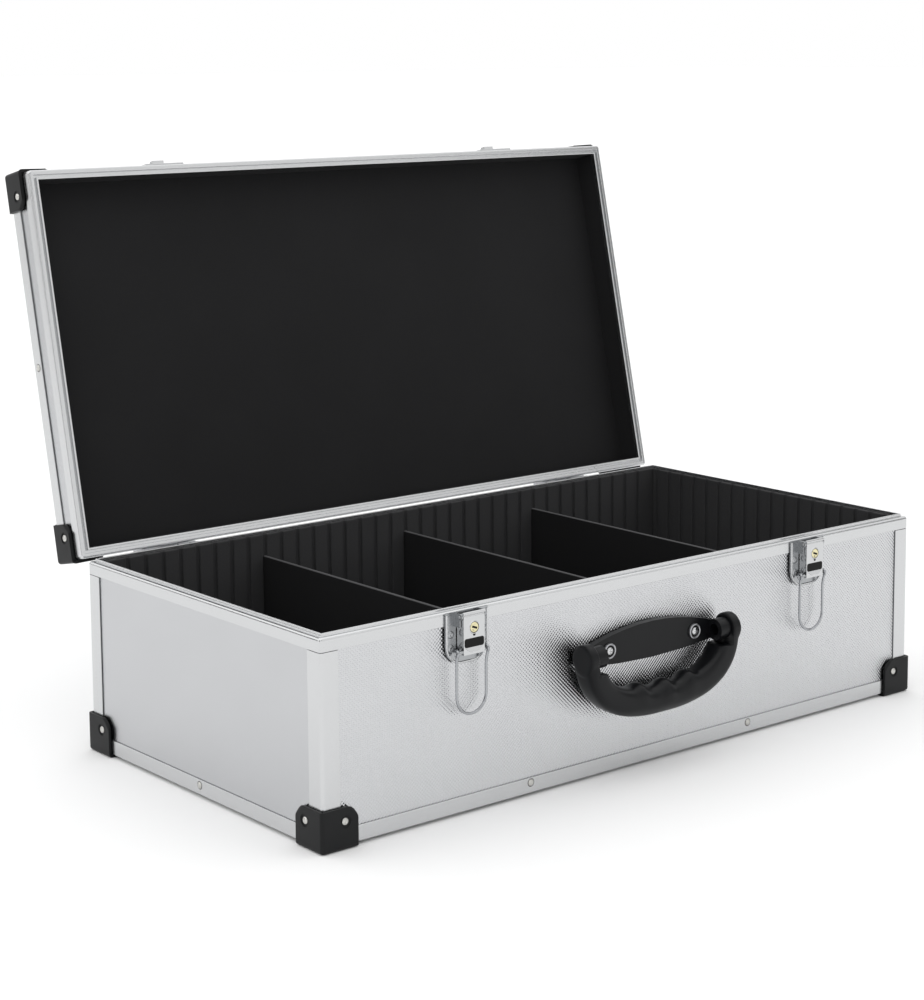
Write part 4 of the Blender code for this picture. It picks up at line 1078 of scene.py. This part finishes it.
def make_screw_head(side, centre):
    dome = [(HEAD_RADIUS * math.sin(angle), 0.8 * MM * math.cos(angle) - 0.3 * MM)
            for angle in [math.radians(step) for step in (20, 40, 60, 80, 90)]]
    head = bmesh.new()
    spin(head, [(0, 0.5 * MM)] + dome + [(HEAD_RADIUS, SCREW_FOOT), (0, SCREW_FOOT)], 28, centre, AWAY)
    screw = finish_mesh("handle_screw_head_" + side, head, CHROME, False)
    for wide, tall in ((CROSS_LONG, CROSS_THIN), (CROSS_THIN, CROSS_LONG)):
        slot = bmesh.new()
        box_between(slot, centre + Vector((-wide, -2 * MM, -tall)), centre + Vector((wide, 0.2 * MM, tall)))
        apply_difference(screw, finish_mesh("cross", slot, CHROME, False))
    screw.data.set_sharp_from_angle(angle=SMOOTH_ANGLE)
    stand_for(screw, "handle_screw_" + side)


eased("handle_plate", PVC, 1.1 * MM, 4)
for side in ("left", "right"):
    low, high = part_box("handle_screw_" + side)
    centre = Vector(((low.x + high.x) / 2, low.y, (low.z + high.z) / 2))
    make_washer(side, centre)
    make_screw_head(side, centre)
print("handle plate eased, screws cupped")

# %% [markdown]
# The grip is one moulding: a bow with three bumps between its finger valleys, which swells into flat
# round cheeks at the ends. Blended forms like this are easiest to make the way a model maker does:
# lay the lumps over each other, fuse them into one skin, and sand. The bow is a row of rings between
# an outer and an inner curve, the cheeks are two spun discs, the fuse is a voxel remesh, and the
# sanding is a few rounds of smoothing. A box then clears the room between the cheeks for the plate.

# %% Grip: curves and rings
GRIP_AXIS = Vector((0, FRONT - 12 * MM, LEDGE - 48 * MM))
GRIP_OUTER = (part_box("handle_grip")[1].x, 48.5 * MM)     # half the width, and the drop
GRIP_INNER = (55 * MM, 28 * MM)
OUTER_FULLNESS = 2.4          # 2 is an ellipse, more is squarer
INNER_FULLNESS = 2.6
CHEEK = 7.4 * MM              # thickness of the round ends
CHEEK_RADIUS = 10.4 * MM
BUMPS = (-20.5, 3, 24.5)      # mm along the grip
BUMP_RISE = 3.4               # mm
BUMP_WIDTH = 5.2              # mm
GRIP_RINGS = 110
GRIP_SIDES = 28
FIRST_RING = math.radians(4)  # the bow's ends start inside the cheeks


def on_superellipse(half_x, drop, squareness, angle):
    power = 2 / squareness
    cosine, sine = math.cos(angle), math.sin(angle)
    return Vector((math.copysign(abs(cosine) ** power, cosine) * half_x, 0, -drop * abs(sine) ** power))


def grip_ring(bm, angle):
    """One section across the bow: round at the bottom of the bow and square near the cheeks."""
    outer = on_superellipse(*GRIP_OUTER, OUTER_FULLNESS, angle)
    inner = on_superellipse(*GRIP_INNER, INNER_FULLNESS, angle)
    rise = sum(BUMP_RISE * math.exp(-((inner.x / MM - place) / BUMP_WIDTH) ** 2) for place in BUMPS)
    inner.z += rise * MM
    middle, spread = (outer + inner) / 2, (inner - outer) / 2
    flat = abs(math.cos(angle)) ** 1.5
    thick = spread.length * 0.98 * (1 - flat) + (CHEEK_RADIUS - 0.6 * MM) * flat - rise * 0.35 * MM
    power = 2 / (2 + 2.4 * flat)
    ring = []
    for turn in range(GRIP_SIDES):
        along = math.cos(math.tau * turn / GRIP_SIDES)
        across = math.sin(math.tau * turn / GRIP_SIDES)
        ring.append(bm.verts.new(
            GRIP_AXIS + middle + spread * math.copysign(abs(along) ** power, along)
            + Vector((0, thick * math.copysign(abs(across) ** power, across), 0))))
    return ring


# %% Grip: lay, fuse, sand and trim
def lay_grip():
    """The bow and its two cheeks, laid over each other."""
    bm = bmesh.new()
    sweep = math.pi - 2 * FIRST_RING
    rings = [grip_ring(bm, FIRST_RING + sweep * step / GRIP_RINGS) for step in range(GRIP_RINGS + 1)]
    for ring, other in zip(rings, rings[1:]):
        for turn in range(GRIP_SIDES):
            following = (turn + 1) % GRIP_SIDES
            bm.faces.new((ring[turn], ring[following], other[following], other[turn]))
    bm.faces.new(rings[0])
    bm.faces.new(rings[-1])
    cheek = [(0, -CHEEK), (CHEEK_RADIUS, -CHEEK), (CHEEK_RADIUS, 0), (0, 0)]
    for sign in (-1, 1):
        spin(bm, cheek, 36, GRIP_AXIS + Vector((sign * GRIP_OUTER[0], 0, 0)), (sign, 0, 0))
    return bm


def make_grip():
    grip = finish_mesh("grip_moulding", lay_grip(), PVC, weighted=False)
    fuse = grip.modifiers.new("fuse", "REMESH")
    fuse.mode = "VOXEL"
    fuse.voxel_size = 0.9 * MM
    sand = grip.modifiers.new("sand", "SMOOTH")
    sand.factor = 0.5
    sand.iterations = 8
    reach = GRIP_OUTER[0] - CHEEK
    between_cheeks = bmesh.new()
    box_between(between_cheeks, GRIP_AXIS + Vector((-reach, -20 * MM, -11 * MM)),
                GRIP_AXIS + Vector((reach, 20 * MM, 30 * MM)))
    apply_difference(grip, finish_mesh("grip_trim", between_cheeks, PVC, False))
    grip.data.shade_smooth()
    grip.data.materials.clear()
    grip.data.materials.append(PVC)
    return stand_for(grip, "handle_grip")


grip = make_grip()
print("grip has", len(grip.data.polygons), "faces")

# %% [markdown]
# ## Studio
#
# The case stands on a white floor in an evenly white room, under one very wide lamp that stands for
# an overhead silk: its light comes from half of the sky, so shadows are faint and soft. Metal then
# mirrors white almost everywhere, and chrome would look like white paint. A studio's answer is black
# cards, which stand outside the picture and give the chrome its dark lines. These four are seen by
# reflections only.

# %% Floor, room and lamp
FLOOR_SIZE = 40               # metres from the middle to each edge
FLOOR_DROP = 0.1 * MM         # under the protectors, so that the faces don't meet
floor_bm = bmesh.new()
bmesh.ops.create_grid(floor_bm, x_segments=1, y_segments=1, size=FLOOR_SIZE)
bmesh.ops.translate(floor_bm, vec=(0, 0, cad_low.z - FLOOR_DROP), verts=floor_bm.verts)
paint, paint_tree, paint_shader = start_material("white_studio_floor", "f4f4f4", 0, 0.9)
speckle = add_node(paint_tree, "ShaderNodeTexNoise", Scale=3.0)
speckle_range = add_node(paint_tree, "ShaderNodeMapRange", Value=speckle.outputs["Fac"],
                         To_Min=0.88, To_Max=0.92)
paint_tree.links.new(speckle_range.outputs["Result"], paint_shader.inputs["Roughness"])
finish_mesh("floor", floor_bm, paint, weighted=False)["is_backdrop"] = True

world = bpy.data.worlds.new("white_room")
bpy.context.scene.world = world
world.use_nodes = True
world.node_tree.nodes["Background"].inputs["Color"].default_value = (1, 1, 1, 1)
world.node_tree.nodes["Background"].inputs["Strength"].default_value = 1.0

silk = bpy.data.lights.new("overhead_silk", "SUN")
silk.energy = 0.9
silk.angle = math.radians(120)
silk_lamp = bpy.data.objects.new("overhead_silk", silk)
bpy.context.scene.collection.objects.link(silk_lamp)
silk_lamp.rotation_euler = (math.radians(-14), math.radians(-16), 0)

view = bpy.context.scene.view_settings
view.view_transform = "Standard"
view.look = "None"
print("a white room under a silk", round(math.degrees(silk.angle)), "degrees wide")

# %% Black cards
CARD = make_nap("black_card", "050505", 0.0, 1.0, 0.01 * MM)
CARDS = {                     # place in metres, width and height
    "card_left": ((-2.6, -0.9, 0.9), 0.9, 2.2),
    "card_right": ((2.9, -1.9, 0.8), 0.8, 1.9),
    "card_back_left": ((-2.2, 2.3, 0.35), 0.9, 0.8),
    "card_behind_camera": ((-0.3, -3.6, 2.3), 2.6, 0.8),
}
CASE_MIDDLE = Vector((0, 0, 0.15))


def black_card(name, place, wide, tall):
    """A card that faces the case and that only reflections can see."""
    bm = bmesh.new()
    bmesh.ops.create_grid(bm, x_segments=1, y_segments=1, size=0.5)
    bmesh.ops.scale(bm, vec=(wide, tall, 1), verts=bm.verts)
    turn = (CASE_MIDDLE - Vector(place)).to_track_quat("Z", "Y").to_matrix().to_4x4()
    bm.transform(Matrix.Translation(Vector(place)) @ turn)
    card = finish_mesh(name, bm, CARD, weighted=False)
    card.visible_camera = False
    card.visible_diffuse = False
    card.visible_shadow = False
    card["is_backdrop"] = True


for name, (place, wide, tall) in CARDS.items():
    black_card(name, place, wide, tall)
print(len(CARDS), "black cards")

# %% [markdown]
# ## Camera
#
# A long lens from the front left, a little above the rim, as a catalogue shows such a case: far
# enough that the walls stay nearly parallel. The camera looks down only slightly, and the lens is
# shifted to bring the case up in the picture, as a view camera does. Tilting it down instead would
# make the uprights lean together.

# %% Camera
FOCAL_DOTS = 2242.9           # the lens' length, in dots of a picture 1000 dots high
PICTURE_HEIGHT = 1000
CAMERA_PLACE = Vector((-1045.9, -1220.6, 487.1)) * MM
CAMERA_TURNS = (-39.26, -7.62, 0.40)      # yaw, pitch and roll in degrees
camera_data = bpy.data.cameras.new("catalogue_camera")
camera_data.sensor_width = 36
camera_data.lens = FOCAL_DOTS * camera_data.sensor_width / PICTURE_HEIGHT
camera_data.shift_y = -0.15
camera_data.clip_end = 200
camera = bpy.data.objects.new("catalogue_camera", camera_data)
bpy.context.scene.collection.objects.link(camera)
yaw, pitch, roll = (math.radians(angle) for angle in CAMERA_TURNS)
aim = Matrix.Rotation(yaw, 4, "Z") @ Matrix.Rotation(pitch, 4, "X") @ Matrix.Rotation(roll, 4, "Y")
level_camera = Matrix.Rotation(math.radians(90), 4, "X")
camera.matrix_world = Matrix.Translation(CAMERA_PLACE) @ aim @ level_camera
bpy.context.scene.camera = camera
print("lens", round(camera_data.lens, 1), "mm, shifted", round(camera_data.shift_y, 2))

# %% Sizes and finish
visual_low, visual_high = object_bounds()
growth = (visual_high - visual_low) - (cad_high - cad_low)
print("visual box grew by", [round(side / MM, 2) for side in growth], "mm")
